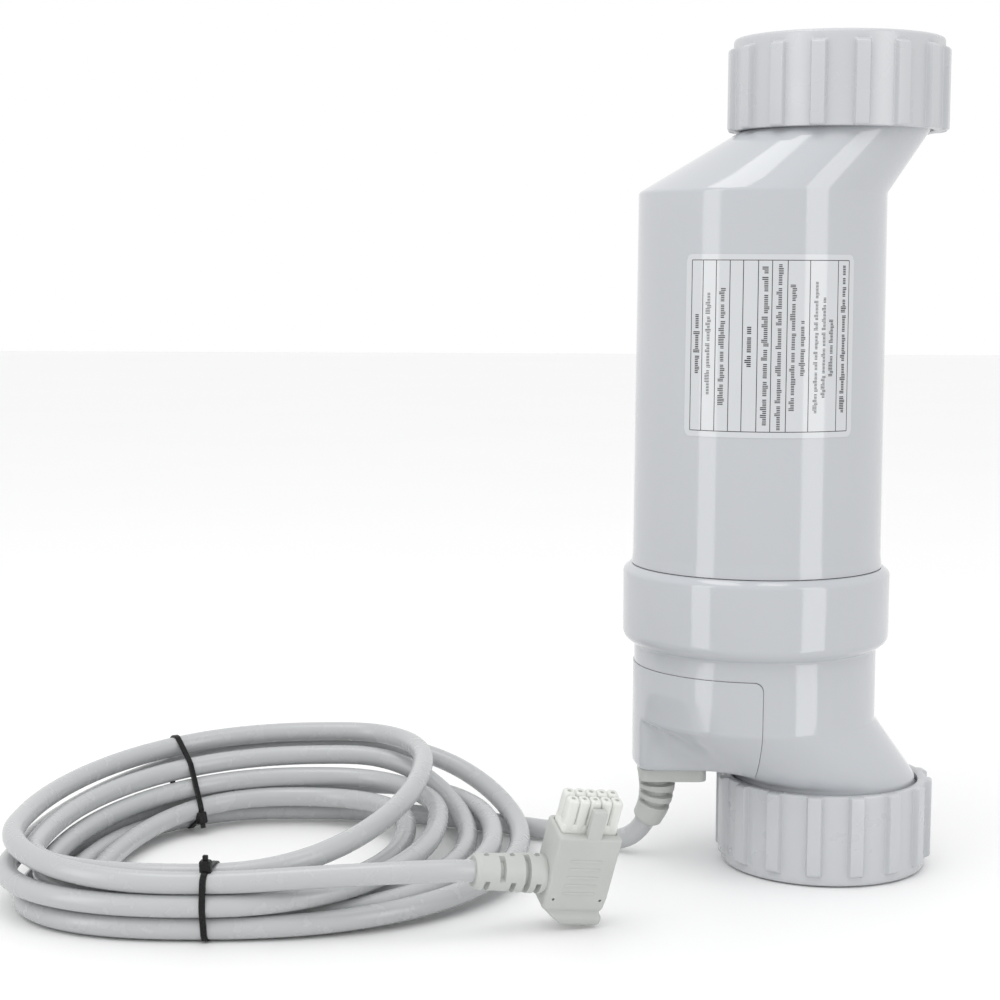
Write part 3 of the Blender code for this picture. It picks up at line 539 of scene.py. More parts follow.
def tie(name, line, degrees, head_at, head_axis, node):
    """A band drawn tight round the strands. Its head is on the outline's point furthest along head_at."""
    found, out, side = crossings(line, degrees)
    reach = CABLE_R + TIE_CLEAR
    loop = []
    for distance, height in found:
        for step in range(24):
            angle = 2 * math.pi * step / 24
            loop.append((distance + reach * math.cos(angle), height + reach * math.sin(angle)))
    outline = [Vector((x, z, 0.0)) for x, z in hull(loop)]
    outline = even(outline + [outline[0]], 0.0015)[:-1]
    count = len(outline)
    rows = []
    section = ((-TIE_HALF_WIDTH, 0.0), (-TIE_HALF_WIDTH, 0.7), (-TIE_HALF_WIDTH * 0.8, 1.0),
               (TIE_HALF_WIDTH * 0.8, 1.0), (TIE_HALF_WIDTH, 0.7), (TIE_HALF_WIDTH, 0.0))
    for index, point in enumerate(outline):
        along = (outline[(index + 1) % count] - outline[index - 1]).normalized()
        away = Vector((along.y, -along.x, 0.0))
        row = []
        for across, lift in section:
            place = point + away * TIE_THICKNESS * lift
            row.append(COIL_MIDDLE + out * place.x + side * across + Vector((0, 0, max(place.y, 0.0003))))
        rows.append(row)
    mesh = bmesh.new()
    add_loft(mesh, rows)
    spot = max(outline, key=lambda point: point.x * head_at[0] + point.y * head_at[1])
    run = Vector(head_axis).normalized()
    to_world = Matrix.Identity(4)
    axes = (out * run.x + Vector((0, 0, run.y)), side, out * -run.y + Vector((0, 0, run.x)))
    for column, axis in enumerate(axes):
        to_world.col[column] = (*axis, 0.0)
    to_world.translation = COIL_MIDDLE + out * spot.x + Vector((0, 0, spot.y))
    length, across, height = TIE_HEAD
    head = []
    for z, trim in ((-height / 2, 0.0006), (0.0006 - height / 2, 0.0), (height / 2 - 0.0006, 0.0),
                    (height / 2, 0.0006)):
        head.append(rounded_box(trim - 0.0008, length - 0.0008 - trim, trim - across / 2, across / 2 - trim,
                                0.0009, z, 3))
    add_loft(mesh, place_rows(head, to_world), False)
    tail = []
    for z in (-0.0006, 0.0006):
        tail.append(rounded_box(length - 0.0014, length + 0.0014, -0.0011, 0.0011, 0.0004, z, 2))
    add_loft(mesh, place_rows(tail, to_world), False)
    made = finish_mesh(mesh, name, "black_nylon")
    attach(made, "housing")
    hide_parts(node)
    return made


# ---- shells --------------------------------------------------------------------------------------
def thread(z, angle, low, high, half_turn):
    """How far a thread stands out, from 0 to 1, at a height and an angle."""
    place = (z / THREAD_PITCH - angle / (2 * math.pi) + half_turn) % 1.0
    off = abs(place - 0.5)
    crest = min(max((0.35 - off) / 0.20, 0.0), 1.0)
    fade = min((z - low) / 0.0025, (high - z) / 0.0025, 1.0)
    return crest * max(fade, 0.0)


def threaded_rows(x, low, high, radius, outward, half_turn, angles):
    """Rows of a helical thread on a cylinder or in a bore, from low to high."""
    step = THREAD_PITCH / 8
    count = int((high - low) / step)
    rows = []
    for index in range(count + 1):
        z = low + (high - low) * index / count
        row = []
        for angle in angles:
            reach = radius + outward * THREAD_HEIGHT * thread(z, angle, low, high, half_turn)
            row.append((x + reach * math.cos(angle), reach * math.sin(angle), z))
        rows.append(row)
    return rows


TURN_ANGLES = [2 * math.pi * step / TURN_SEGMENTS for step in range(TURN_SEGMENTS)]


def ring_rows(profile, angles=TURN_ANGLES):
    return [[(x + radius * math.cos(angle), radius * math.sin(angle), z) for angle in angles]
            for z, x, radius in profile]


def neck_end(end, inward):
    """The neck's end face with its seal groove, from the outside to the bore."""
    deep = end + GROOVE_DEPTH * inward
    face = ((end, NECK_R, 0.0006), (end, GROOVE_R[1], 0.0002), (deep, GROOVE_R[1], 0.0),
            (deep, GROOVE_R[0], 0.0), (end, GROOVE_R[0], 0.0002), (end, NECK_BORE_R, 0.0004))
    return [(z, PORT_X, radius, edge) for z, radius, edge in face]


def between(low, high, x0, r0, x1, r1, count):
    """Extra rows on a straight run, so that its faces stay short."""
    return [(low + (high - low) * step / count, x0 + (x1 - x0) * step / count,
             r0 + (r1 - r0) * step / count, 0.0) for step in range(1, count)]


def upper_shell():
    top = HEIGHT - UPPER_NECK
    thread_low = top + 0.0015
    thread_high = HEIGHT - NECK_END - 0.0010
    outside = [(SPIGOT_END, BODY_X, SPIGOT_R, 0.0008), (0.1428, BODY_X, SPIGOT_R, 0.0),
               (0.1428, BODY_X, 0.0584, 0.0003), (FLARE_TOP, BODY_X, BODY_R_LOW, 0.0020)]
    outside += between(FLARE_TOP, CREASE_TOP, BODY_X, BODY_R_LOW, BODY_X, BODY_R_TOP, 12)
    outside += [(CREASE_TOP, BODY_X, BODY_R_TOP, 0.0012)]
    outside += between(CREASE_TOP, top, BODY_X, BODY_R_TOP, PORT_X, NECK_R, 5)
    outside += [(top, PORT_X, NECK_R, 0.0012)]
    inside = neck_end(HEIGHT - NECK_END, -1)
    inside += [(0.3400, PORT_X, NECK_BORE_R, 0.0020), (0.3115, BODY_X, BODY_BORE_R, 0.0030),
               (SPIGOT_END, BODY_X, BODY_BORE_R, 0.0006)]
    profile = softened(outside + inside)
    split = next(index for index, point in enumerate(profile) if point[0] > thread_low)
    rows = ring_rows(profile[:split])
    rows += threaded_rows(PORT_X, thread_low, thread_high, NECK_R, 1, 0.0, TURN_ANGLES)
    rows += ring_rows(profile[split:])
    made = lofted("upper_shell", rows, "shell_plastic")
    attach(made, "housing")
    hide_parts("cell_body")


def outer_circle(z):
    """Axis x and radius of the lower shell's outer skin, from neck to cylinder."""
    share = min(max((z - NECK_Z) / (LOWER_CREASE - NECK_Z), 0.0), 1.0)
    return PORT_X + (BODY_X - PORT_X) * share, NECK_R + (LOWER_R - NECK_R) * share


def ray_to_circle(angle, origin_x, x, radius):
    offset = x - origin_x
    return -offset * math.cos(angle) + math.sqrt(radius ** 2 - (offset * math.sin(angle)) ** 2)


def soft_most(first, second, width):
    if width <= 0.0:
        return max(first, second)
    near = max(width - abs(first - second), 0.0) / width
    return max(first, second) + near * near * width / 4


def cover_reach(angle, z, origin_x, inset):
    """Distance to the cover's skin: the shell's skin joined with the terminal box."""
    x, radius = outer_circle(z)
    skin = ray_to_circle(angle, origin_x, x, radius + COVER_R - LOWER_R - inset)
    if z >= LOWER_CREASE:
        return skin
    foot = max(COVER_FOOT_R - (z - COVER_BOTTOM), 0.0)
    rounding = COVER_FOOT_R - math.sqrt(COVER_FOOT_R ** 2 - foot ** 2)
    front = ray_to_circle(angle, origin_x, BODY_X, COVER_R - inset - rounding)
    side = (COVER_BOX_HALF - inset - rounding) / max(abs(math.sin(angle)), 0.01)
    corner = -soft_most(-front, -side, 0.010)
    blend = min(0.020, 2.0 * (LOWER_CREASE - z))
    return soft_most(skin, corner, blend if inset < 0.001 else 0.0)


def bed_reach(angle, z, origin_x, gap):
    x, radius = outer_circle(z - 0.0025)
    return ray_to_circle(angle, origin_x, x, radius - 0.0019 + gap)


def cover_top(degrees, rise):
    """Height of the cover's top edge, with its rounded corner."""
    from_edge = math.radians(90 - abs(degrees)) * COVER_R
    inside = max(COVER_CORNER_R - from_edge, 0.0)
    return COVER_TOP + rise - COVER_CORNER_R + math.sqrt(COVER_CORNER_R ** 2 - inside ** 2)


def cover_columns():
    """Angles round the cover in degrees, closest together at the box's corners and the cover's edges."""
    half = [0, 3, 6, 9, 11, 13, 14.5, 16, 17, 18, 19, 20, 21, 22, 23.5, 25, 27, 29, 31.5, 34, 37, 40,
            *range(44, 84, 4), 83, 85.5, 86.3, 87.1, 87.8, 88.4, 88.9, 89.4, 89.75, 90]
    return [-angle for angle in reversed(half[1:])] + half


def cover_loop(degrees, levels, reach, origin_x):
    angle = math.radians(degrees)
    return [(origin_x - reach(angle, z) * math.cos(angle), reach(angle, z) * math.sin(angle), z)
            for z in levels]


def cover_bed():
    """The tool that recesses the lower shell behind the cover."""
    origin = COVER_X + COVER_GAP / 2
    rows = []
    for degrees in cover_columns():
        top = cover_top(degrees, COVER_GAP)
        levels = [COVER_BOTTOM - COVER_GAP, 0.0500, 0.0550, 0.0620, 0.0680, LOWER_CREASE + 0.0025, top]
        loop = cover_loop(degrees, levels, lambda a, z: bed_reach(a, z, origin, 0.0), origin)
        loop += cover_loop(degrees, [top, COVER_BOTTOM - COVER_GAP], lambda a, z: 0.0750, origin)
        rows.append(loop)
    return lofted("cover_bed", rows, None, closed_rows=False)


def tool_cylinder(name, x, y, low, high, radius):
    return lofted(name, [circle(x, y, z, radius, 24) for z in (low, high)], None, False)


def lower_shell():
    thread_low = NECK_END + 0.0010
    thread_high = NECK_Z - 0.0015
    outside = [(NECK_Z, PORT_X, NECK_R, 0.0012)]
    outside += between(NECK_Z, LOWER_CREASE, PORT_X, NECK_R, BODY_X, LOWER_R, 5)
    outside += [(LOWER_CREASE, BODY_X, LOWER_R, 0.0012)]
    outside += [(0.0900, BODY_X, LOWER_R, 0.0), (0.1050, BODY_X, LOWER_R, 0.0010),
                (0.1062, BODY_X, 0.0590, 0.0012), (0.1090, BODY_X, COLLAR_R, 0.0028),
                (0.1400, BODY_X, COLLAR_R, 0.0014), (COLLAR_TOP, BODY_X, 0.0592, 0.0008),
                (COLLAR_TOP, BODY_X, 0.0560, 0.0), (0.1147, BODY_X, 0.0560, 0.0),
                (0.1147, BODY_X, 0.0540, 0.0), (0.1080, BODY_X, 0.0540, 0.0),
                (0.1080, BODY_X, BODY_BORE_R, 0.0006),
                (INNER_CONE_HIGH, BODY_X, BODY_BORE_R, 0.0030), (INNER_CONE_LOW, PORT_X, NECK_BORE_R, 0.0020)]
    profile = softened(outside + list(reversed(neck_end(NECK_END, 1))))
    rows = ring_rows(profile)
    rows += threaded_rows(PORT_X, thread_low, thread_high, NECK_R, 1, 0.0, TURN_ANGLES)
    made = lofted("lower_shell", rows, "shell_plastic")
    bool_cut(made, cover_bed())
    boss_rows = [rounded_box(TERMINAL_X - 0.0055, TERMINAL_X + 0.0055, -0.0165, 0.0165, 0.0010, z)
                 for z in BOSS_Z]
    bool_cut(made, lofted("terminal_boss", boss_rows, None, False), "UNION")
    for index, y in enumerate(TERMINAL_Y):
        bool_cut(made, tool_cylinder(f"rod_hole_{index}", TERMINAL_X, y, 0.0540, 0.0700, ROD_HOLE_R))
    bool_cut(made, tool_cylinder("probe_hole", PROBE_X, 0.0, 0.0470, 0.0640, PROBE_HOLE_R))
    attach(made, "housing")
    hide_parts("lower_housing")


def terminal_cover():
    origin = COVER_X - COVER_GAP / 2
    floor_top = COVER_BOTTOM + COVER_FLOOR

    def inside(angle, z):
        bed = bed_reach(angle, z, origin, 0.0004)
        return bed if z >= LOWER_CREASE else max(bed, cover_reach(angle, z, origin, COVER_WALL))

    outer_levels = [COVER_BOTTOM, 0.0467, 0.0470, 0.0475, 0.0482, 0.0490, 0.0500, 0.0520, 0.0540, 0.0560,
                    0.0580, 0.0600, 0.0620, 0.0640, 0.0660, 0.0675, 0.0690, 0.0700, LOWER_CREASE - 0.0003,
                    LOWER_CREASE + 0.0005, 0.0725, 0.0780, 0.0840]
    inner_levels = [0.0840, LOWER_CREASE + 0.0025, LOWER_CREASE - 0.0003, 0.0690, 0.0660, 0.0620, 0.0580,
                    0.0540, 0.0510, floor_top]
    rows = []
    for degrees in cover_columns():
        top = cover_top(degrees, 0.0)
        loop = cover_loop(degrees, outer_levels + [top], lambda a, z: cover_reach(a, z, origin, 0.0), origin)
        loop += cover_loop(degrees, [top] + inner_levels, inside, origin)
        foot = [floor_top - 0.0001, COVER_BOTTOM]
        loop += cover_loop(degrees, foot, lambda a, z: bed_reach(a, z, origin, COVER_GAP), origin)
        rows.append(loop)
    made = lofted("terminal_cover_shell", rows, "shell_plastic", False)
    bool_cut(made, tool_cylinder("relief_hole", RELIEF_X, 0.0, 0.0400, 0.0500, RELIEF_HOLE_R))
    bevel_edges(made, 0.00025, 50)
    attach(made, "housing")
    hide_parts("terminal_cover")


# ---- unions --------------------------------------------------------------------------------------
# Columns across one rib, in degrees from its middle.
RIB_HALF = (0.0, 1.7, 3.3, 3.7, 3.95, 4.15, 4.35, 4.6, 5.4, 8.0)
RIB_OFFSETS = (-180 / NUT_RIBS, *(-offset for offset in reversed(RIB_HALF[1:])), *RIB_HALF)


def rib_height(offset):
    """Height of a rib at an angle from its middle, from 0 to 1, with a small fillet at its foot."""
    across = min(max((4.6 - abs(offset)) / 1.3, 0.0), 1.0)
    return across * across * (3 - 2 * across)


def nut_columns(phase):
    columns = []
    for rib in range(NUT_RIBS):
        for offset in RIB_OFFSETS:
            columns.append((math.radians(phase + 360 / NUT_RIBS * rib + offset), rib_height(offset)))
    return columns


NUT_SKIN = ((0.0000, -0.0020, 0.0), (0.0002, -0.0012, 0.0), (0.0005, -0.0006, 0.0), (0.0010, -0.0002, 0.0),
            (0.0016, 0.0, 0.0), (0.0030, 0.0, 0.0), (0.0042, 0.0, 0.0), (0.0045, 0.0, 0.12),
            (0.0049, 0.0, 0.45), (0.0053, 0.0, 0.80), (0.0058, 0.0, 0.95), (0.0065, 0.0, 1.0),
            (0.0180, 0.0, 1.0), (0.0300, 0.0, 1.0), (0.0406, 0.0, 1.0), (0.0412, 0.0, 0.96),
            (0.0417, -0.0001, 0.84), (0.0419, -0.0004, 0.70), (0.0420, -0.0009, 0.50))


def union_nut(name, node, body, base, up, phase):
    """A ribbed nut with a rounded smooth end and a threaded bore."""
    columns = nut_columns(phase)
    rows = []
    for level, trim, rib in NUT_SKIN:
        row = []
        for angle, height in columns:
            reach = NUT_R + trim + (NUT_RIB_R - NUT_R) * rib * height
            row.append((PORT_X + reach * math.cos(angle), reach * math.sin(angle), base + up * level))
        rows.append(row)
    angles = [angle for angle, _ in columns]
    low, high = 0.0140, NUT_HEIGHT - 0.0010
    mouth = [(NUT_HEIGHT, NUT_BORE_R + 0.0009), (NUT_HEIGHT - 0.0007, NUT_BORE_R)]
    rows += ring_rows([(base + up * level, PORT_X, radius) for level, radius in mouth], angles)
    zs = sorted((base + up * low, base + up * high))
    bore = threaded_rows(PORT_X, zs[0], zs[1], NUT_BORE_R, -1, 0.5, angles)
    rows += bore[::-1] if up > 0 else bore
    lip = [(NUT_LIP + 0.0004, NUT_BORE_R), (NUT_LIP, NUT_BORE_R - 0.0004), (NUT_LIP, NUT_MOUTH_R + 0.0003),
           (NUT_LIP - 0.0003, NUT_MOUTH_R), (0.0008, NUT_MOUTH_R), (0.0002, NUT_MOUTH_R + 0.0003),
           (0.0, NUT_MOUTH_R + 0.0009)]
    rows += ring_rows([(base + up * level, PORT_X, radius) for level, radius in lip], angles)
    made = lofted(name, rows, "nut_plastic", sharp=math.radians(38))
    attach(made, body)
    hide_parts(node)


def tailpiece(name, node, body, base, up):
    """The socket end with its flange, a chamfered mouth and a pipe stop."""
    levels = [(TAIL_END, TAIL_R, 0.0008), (NUT_LIP + 0.0003, TAIL_R, 0.0003),
              (NUT_LIP + 0.0003, TAIL_FLANGE_R, 0.0004), (NECK_END - 0.0003, TAIL_FLANGE_R, 0.0004),
              (NECK_END - 0.0003, TAIL_SOCKET_R, 0.0005), (TAIL_END + 0.0012, TAIL_SOCKET_R, 0.0003),
              (TAIL_END, TAIL_SOCKET_R + 0.0012, 0.0002)]
    profile = softened([(base + up * level, PORT_X, radius, edge) for level, radius, edge in levels])
    made = lofted(name, ring_rows(profile), "nut_plastic")
    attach(made, body)
    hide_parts(node)


# ---- label ---------------------------------------------------------------------------------------
LABEL_PRINT_ANGLES = (-128.8, -54.6)
LABEL_PRINT_Z = (0.2087, 0.2840)
DIVIDERS = (0.0, 0.076, 0.161, 0.246, 0.326, 0.414, 0.496, 0.588, 0.726, 0.916, 1.0)
# Lines of plain ticks: place across the frame, start and end up it, height in metres, weight.
PRINT_LINES = ((0.033, 0.337, 0.670, 0.0026, 1.0), (0.110, 0.215, 0.800, 0.0022, 0.6),
               (0.197, 0.155, 0.840, 0.0025, 0.8), (0.359, 0.380, 0.610, 0.0028, 1.0),
               (0.455, 0.040, 0.955, 0.0027, 0.8), (0.538, 0.012, 0.978, 0.0025, 0.8),
               (0.621, 0.125, 0.865, 0.0024, 0.8), (0.678, 0.330, 0.650, 0.0024, 0.8),
               (0.767, 0.110, 0.880, 0.0020, 0.6), (0.819, 0.200, 0.785, 0.0020, 0.7),
               (0.870, 0.325, 0.665, 0.0021, 0.8), (0.956, 0.110, 0.890, 0.0024, 1.0),
               (0.956, 0.915, 0.970, 0.0024, 1.0))
FILM_LIFT = (0.00003, 0.00013)
INK_LIFT = (0.00012, 0.00016)


def body_radius(z):
    share = (z - FLARE_TOP) / (CREASE_TOP - FLARE_TOP)
    return BODY_R_LOW + (BODY_R_TOP - BODY_R_LOW) * share


def on_body(angle, z, lift):
    radius = body_radius(z) + lift
    return (BODY_X + radius * math.cos(angle), radius * math.sin(angle), z)


def film():
    """The clear film, a thin skin with rounded corners."""
    low, high = LABEL_Z
    first, last = (math.radians(value) for value in LABEL_ANGLES)
    corner = 0.0030
    rows = []
    steps = 96
    for step in range(steps + 1):
        angle = first + (last - first) * step / steps
        from_end = min(angle - first, last - angle) * BODY_R_LOW
        inside = max(corner - from_end, 0.0)
        trim = corner - math.sqrt(max(corner ** 2 - inside ** 2, 0.0))
        z0, z1 = low + trim, high - trim
        levels = [z0 + (z1 - z0) * share / 6 for share in range(7)]
        rows.append([on_body(angle, z, FILM_LIFT[1]) for z in levels]
                    + [on_body(angle, z, FILM_LIFT[0]) for z in reversed(levels)])
    made = lofted("label_film_skin", rows, "label_film", False)
    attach(made, "housing")
    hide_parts("rating_label")


def add_ink(mesh, angle0, angle1, z0, z1):
    """A thin raised patch of ink."""
    steps = max(1, math.ceil((angle1 - angle0) / math.radians(2.5)))
    rows = []
    for step in range(steps + 1):
        angle = angle0 + (angle1 - angle0) * step / steps
        rows.append([on_body(angle, z0, INK_LIFT[1]), on_body(angle, z1, INK_LIFT[1]),
                     on_body(angle, z1, INK_LIFT[0]), on_body(angle, z0, INK_LIFT[0])])
    add_loft(mesh, rows, False)


def label_print():
    """A ruled frame with columns, and rows of plain ticks in place of print."""
    mesh = bmesh.new()
    first, last = (math.radians(value) for value in LABEL_PRINT_ANGLES)
    low, high = LABEL_PRINT_Z
    rule = 0.00034
    half_rule = rule / 2 / BODY_R_LOW
    for share in DIVIDERS:
        angle = first + (last - first) * share
        add_ink(mesh, angle - half_rule, angle + half_rule, low, high)
    for z in (low, high):
        add_ink(mesh, first, last, z - rule / 2, z + rule / 2)
    rng = random.Random(7)
    for share, start, stop, height, weight in PRINT_LINES:
        base = first + (last - first) * share + height * 0.5 / BODY_R_LOW
        z = low + (high - low) * start
        end = low + (high - low) * stop
        while z < end:
            word = rng.randint(3, 9)
            for _ in range(word):
                if z >= end:
                    break
                tall = rng.choice((0.62, 0.62, 0.66, 1.0))
                drop = 0.22 if rng.random() < 0.10 else 0.0
                width = height * (0.10 + 0.09 * weight)
                for stroke in (0.0, 0.30):
                    at = z + height * stroke
                    add_ink(mesh, base - height * tall / BODY_R_LOW, base + height * drop / BODY_R_LOW, at,
                            at + width)
                z += height * 0.62
            z += height * 0.42
    made = finish_mesh(mesh, "label_print", "label_ink")
    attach(made, "housing")


# ---- boots ---------------------------------------------------------------------------------------
BOOT_SEGMENTS = 96
SLOT_CORE_R = 0.0053
RELIEF_SLOTS = (0.0050, 0.0100, 0.0150)    # along the strain relief
RELIEF_SLOT_HALF = 0.0012


def smooth_edge(value, edge):
    share = min(max(value / edge, 0.0), 1.0)
    return share * share * (3 - 2 * share)


def boot_rows(line, front, radius_at, slots):
    """Rows of a boot with ladder slots down to its core. A slot is (start, end, middle angle, half angle)."""
    total = line_length(line)
    stops = {0.0, total}
    edge = 0.00016
    for start, end, *_ in slots:
        for at in (start - edge, start, start + edge, (start + end) / 2, end - edge, end, end + edge):
            stops.add(min(max(at, 0.0), total))
    stops |= {total * step / 28 for step in range(29)}
    stops |= {total - shift for shift in (0.0002, 0.0005, 0.0009, 0.0014)}
    stops |= {0.0002, 0.0006, 0.0012}
    rows = []
    for at in sorted(stops):
        index = min(at / total * (len(line) - 1), len(line) - 1.001)
        whole = int(index)
        point = line[whole].lerp(line[whole + 1], index - whole)
        along = (line[min(whole + 2, len(line) - 1)] - line[max(whole - 1, 0)]).normalized()
        face = (front - along * front.dot(along)).normalized()
        side = along.cross(face)
        skin = radius_at(at, total)
        row = []
        for step in range(BOOT_SEGMENTS):
            angle = 2 * math.pi * step / BOOT_SEGMENTS
            cut = 0.0
            for start, end, middle, half in slots:
                in_length = smooth_edge(min(at - start, end - at) + edge, 2 * edge)
                off = abs((math.degrees(angle) - middle + 180) % 360 - 180)
                cut = max(cut, in_length * smooth_edge(half - off + 2.0, 4.0))
            radius = skin + (SLOT_CORE_R - skin) * cut
            row.append(point + radius * (face * math.cos(angle) + side * math.sin(angle)))
        rows.append(row)
    return rows


def strain_relief():
    """The cell's strain relief: a flange under the terminal box and a slotted boot."""
    line = even(catmull(RELIEF_ROUTE), 0.0005)

    def radius_at(at, total):
        return 0.0091 - 0.0022 * at / total - 0.0009 * (1 - smooth_edge(total - at, 0.0014))

    slots = []
    for at in RELIEF_SLOTS:
        start, end = at - RELIEF_SLOT_HALF, at + RELIEF_SLOT_HALF
        slots += [(start, end, -10, 84), (start, end, 180, 50)]
    mesh = bmesh.new()
    add_loft(mesh, boot_rows(line, Vector((0, -1, 0)), radius_at, slots), False)
    flange = []
    x0, x1 = BODY_X - 0.0540, BODY_X - 0.0230
    for z, trim in ((0.0402, 0.0007), (0.0404, 0.0002), (0.0408, 0.0), (0.0458, 0.0), (0.0462, 0.0004)):
        flange.append(rounded_box(x0 + trim, x1 - trim, trim - 0.0140, 0.0140 - trim, 0.0035, z))
    add_loft(mesh, flange, False)
    made = finish_mesh(mesh, "cell_strain_relief_boot", "boot_rubber")
    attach(made, "housing")
    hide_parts("cell_strain_relief")


# ---- plug ----------------------------------------------------------------------------------------
def plug_matrix():
    yaw, roll, tilt = (math.radians(angle) for angle in PLUG_TURN)
    return (Matrix.Translation(PLUG_AT) @ Matrix.Rotation(yaw, 4, "Z") @ Matrix.Rotation(roll, 4, "Y")
            @ Matrix.Rotation(tilt, 4, "X"))


PLUG = plug_matrix()


def plug_hood():
    """The moulded hood: a stepped foot, plain grip ribs, two pin holes, a cavity and a tab."""
    left, right = HOOD_X
    front, back = HOOD_Y
    skin = ((-0.0014, -0.0038, 0.0121, 0.0016, 0.0012), (-0.0011, -0.0042, 0.0131, 0.0007, 0.0005),
            (-0.0005, -0.0050, 0.0138, 0.0002, 0.0001), (0.0004, -0.0062, 0.0142, 0.0, 0.0),
            (0.0022, -0.0085, 0.0143, 0.0, 0.0), (0.0030, -0.0095, 0.0140, 0.0002, 0.0),
            (0.0036, -0.0102, 0.0134, 0.0008, 0.0), (0.0044, -0.0112, 0.0132, 0.0010, 0.0),
            (0.0056, -0.0126, 0.0131, 0.0010, 0.0), (0.0062, -0.0133, 0.0133, 0.0005, 0.0),
            (0.0070, -0.0138, 0.0136, 0.0001, 0.0), (0.0080, left, 0.0138, 0.0, 0.0),
            (0.0127, left, right, 0.0, 0.0), (0.0200, left, right, 0.0, 0.0), (0.0310, left, right, 0.0, 0.0),
            (HOOD_TOP - 0.0012, left, right, 0.0, 0.0),
            (HOOD_TOP - 0.0007, left + 0.0001, right - 0.0001, 0.0001, 0.0001),
            (HOOD_TOP - 0.0003, left + 0.0003, right - 0.0003, 0.0003, 0.0003),
            (HOOD_TOP, left + 0.0008, right - 0.0008, 0.0009, 0.0008))
    rows = [rounded_box(x0, x1, front + trim, back - behind, 0.0018, z) for z, x0, x1, trim, behind in skin]
    gap = 0.0003
    for z, grow in ((HOOD_TOP, 0.0006), (HOOD_TOP - 0.0002, 0.0002), (HOOD_TOP - 0.0006, 0.0),
                    (HOOD_TOP - 0.0100, 0.0), (0.0200, 0.0)):
        rows.append(rounded_box(INSERT_X[0] - gap - grow * 0.4, INSERT_X[1] + gap + grow * 0.4,
                                INSERT_Y[0] - gap - grow, INSERT_Y[1] + gap + grow * 0.5, 0.0010, z))
    made = lofted("plug_hood_shell", place_rows(rows, PLUG), "boot_rubber", False)
    for index, x in enumerate((-0.0102, 0.0110)):
        hole = [[PLUG @ Vector((x + px, y, 0.0118 + pz)) for px, pz, _ in circle(0, 0, 0, 0.00065, 16)]
                for y in (-0.0120, -0.0060)]
        bool_cut(made, lofted(f"pin_hole_{index}", hole, None, False))
    mesh = bmesh.new()
    mesh.from_mesh(made.data)
    for z in (0.0150, 0.0190, 0.0230, 0.0270, 0.0310):
        rib = []
        for lift, trim in ((-0.0004, 0.0), (0.00018, 0.0), (0.00030, 0.00025)):
            outline = rounded_box(trim - 0.0068, 0.0076 - trim, trim - 0.0006, 0.0006 - trim, 0.0003, 0.0, 3)
            rib.append([(x, front - lift, z + y) for x, y, _ in outline])
        add_loft(mesh, place_rows(rib, PLUG), False)
    tab = []
    for z, trim in ((HOOD_TOP - 0.0040, 0.0), (TAB_TOP - 0.0009, 0.0), (TAB_TOP - 0.0003, 0.0002),
                    (TAB_TOP, 0.0007)):
        tab.append(trimmed_box(TAB_X, TAB_Y, trim, 0.0005, z, 3))
    add_loft(mesh, place_rows(tab, PLUG), False)
    old = made.data
    rebuilt = finish_mesh(mesh, "plug_hood_body", "boot_rubber")
    bpy.data.objects.remove(made)
    bpy.data.meshes.remove(old)
    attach(rebuilt, "housing")
    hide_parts("plug_hood")
    return rebuilt


def plug_insert():
    """The nylon block with its two rows of round-topped tubes, each with a bore."""
    mesh = bmesh.new()
    base = []
    for z, trim in ((INSERT_BASE, 0.0), (INSERT_SHOULDER - 0.0005, 0.0), (INSERT_SHOULDER - 0.0001, 0.0002),
                    (INSERT_SHOULDER, 0.0006)):
        base.append(trimmed_box(INSERT_X, INSERT_Y, trim, 0.0008, z))
    add_loft(mesh, place_rows(base, PLUG), False)
    middle_x = sum(INSERT_X) / 2
    middle_y = sum(INSERT_Y) / 2
    for row in (-0.5, 0.5):
        y = middle_y + row * TUBE_PITCH[1]
        for column in range(-2, 3):
            x = middle_x + column * TUBE_PITCH[0]
            tube = []
            for z, trim in ((INSERT_SHOULDER - 0.0030, 0.0), (INSERT_TOP - 0.0016, 0.0),
                            (INSERT_TOP - 0.0008, 0.00015), (INSERT_TOP - 0.0002, 0.00050),
                            (INSERT_TOP, 0.00085)):
                half_x, half_y = TUBE_HALF[0] - trim, TUBE_HALF[1] - trim
                tube.append(rounded_box(x - half_x, x + half_x, y - half_y, y + half_y,
                                        min(0.0014, half_x * 0.95), z))
            for z, radius in ((INSERT_TOP - 0.0001, TUBE_BORE_R + 0.0001), (INSERT_TOP - 0.0004, TUBE_BORE_R),
                              (INSERT_TOP - 0.0080, TUBE_BORE_R)):
                tube.append(rounded_box(x - radius, x + radius, y - radius, y + radius, radius * 0.999, z))
            add_loft(mesh, place_rows(tube, PLUG), False)
    made = finish_mesh(mesh, "plug_insert_block", "nylon")
    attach(made, "housing")
    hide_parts("plug_insert")
    return made


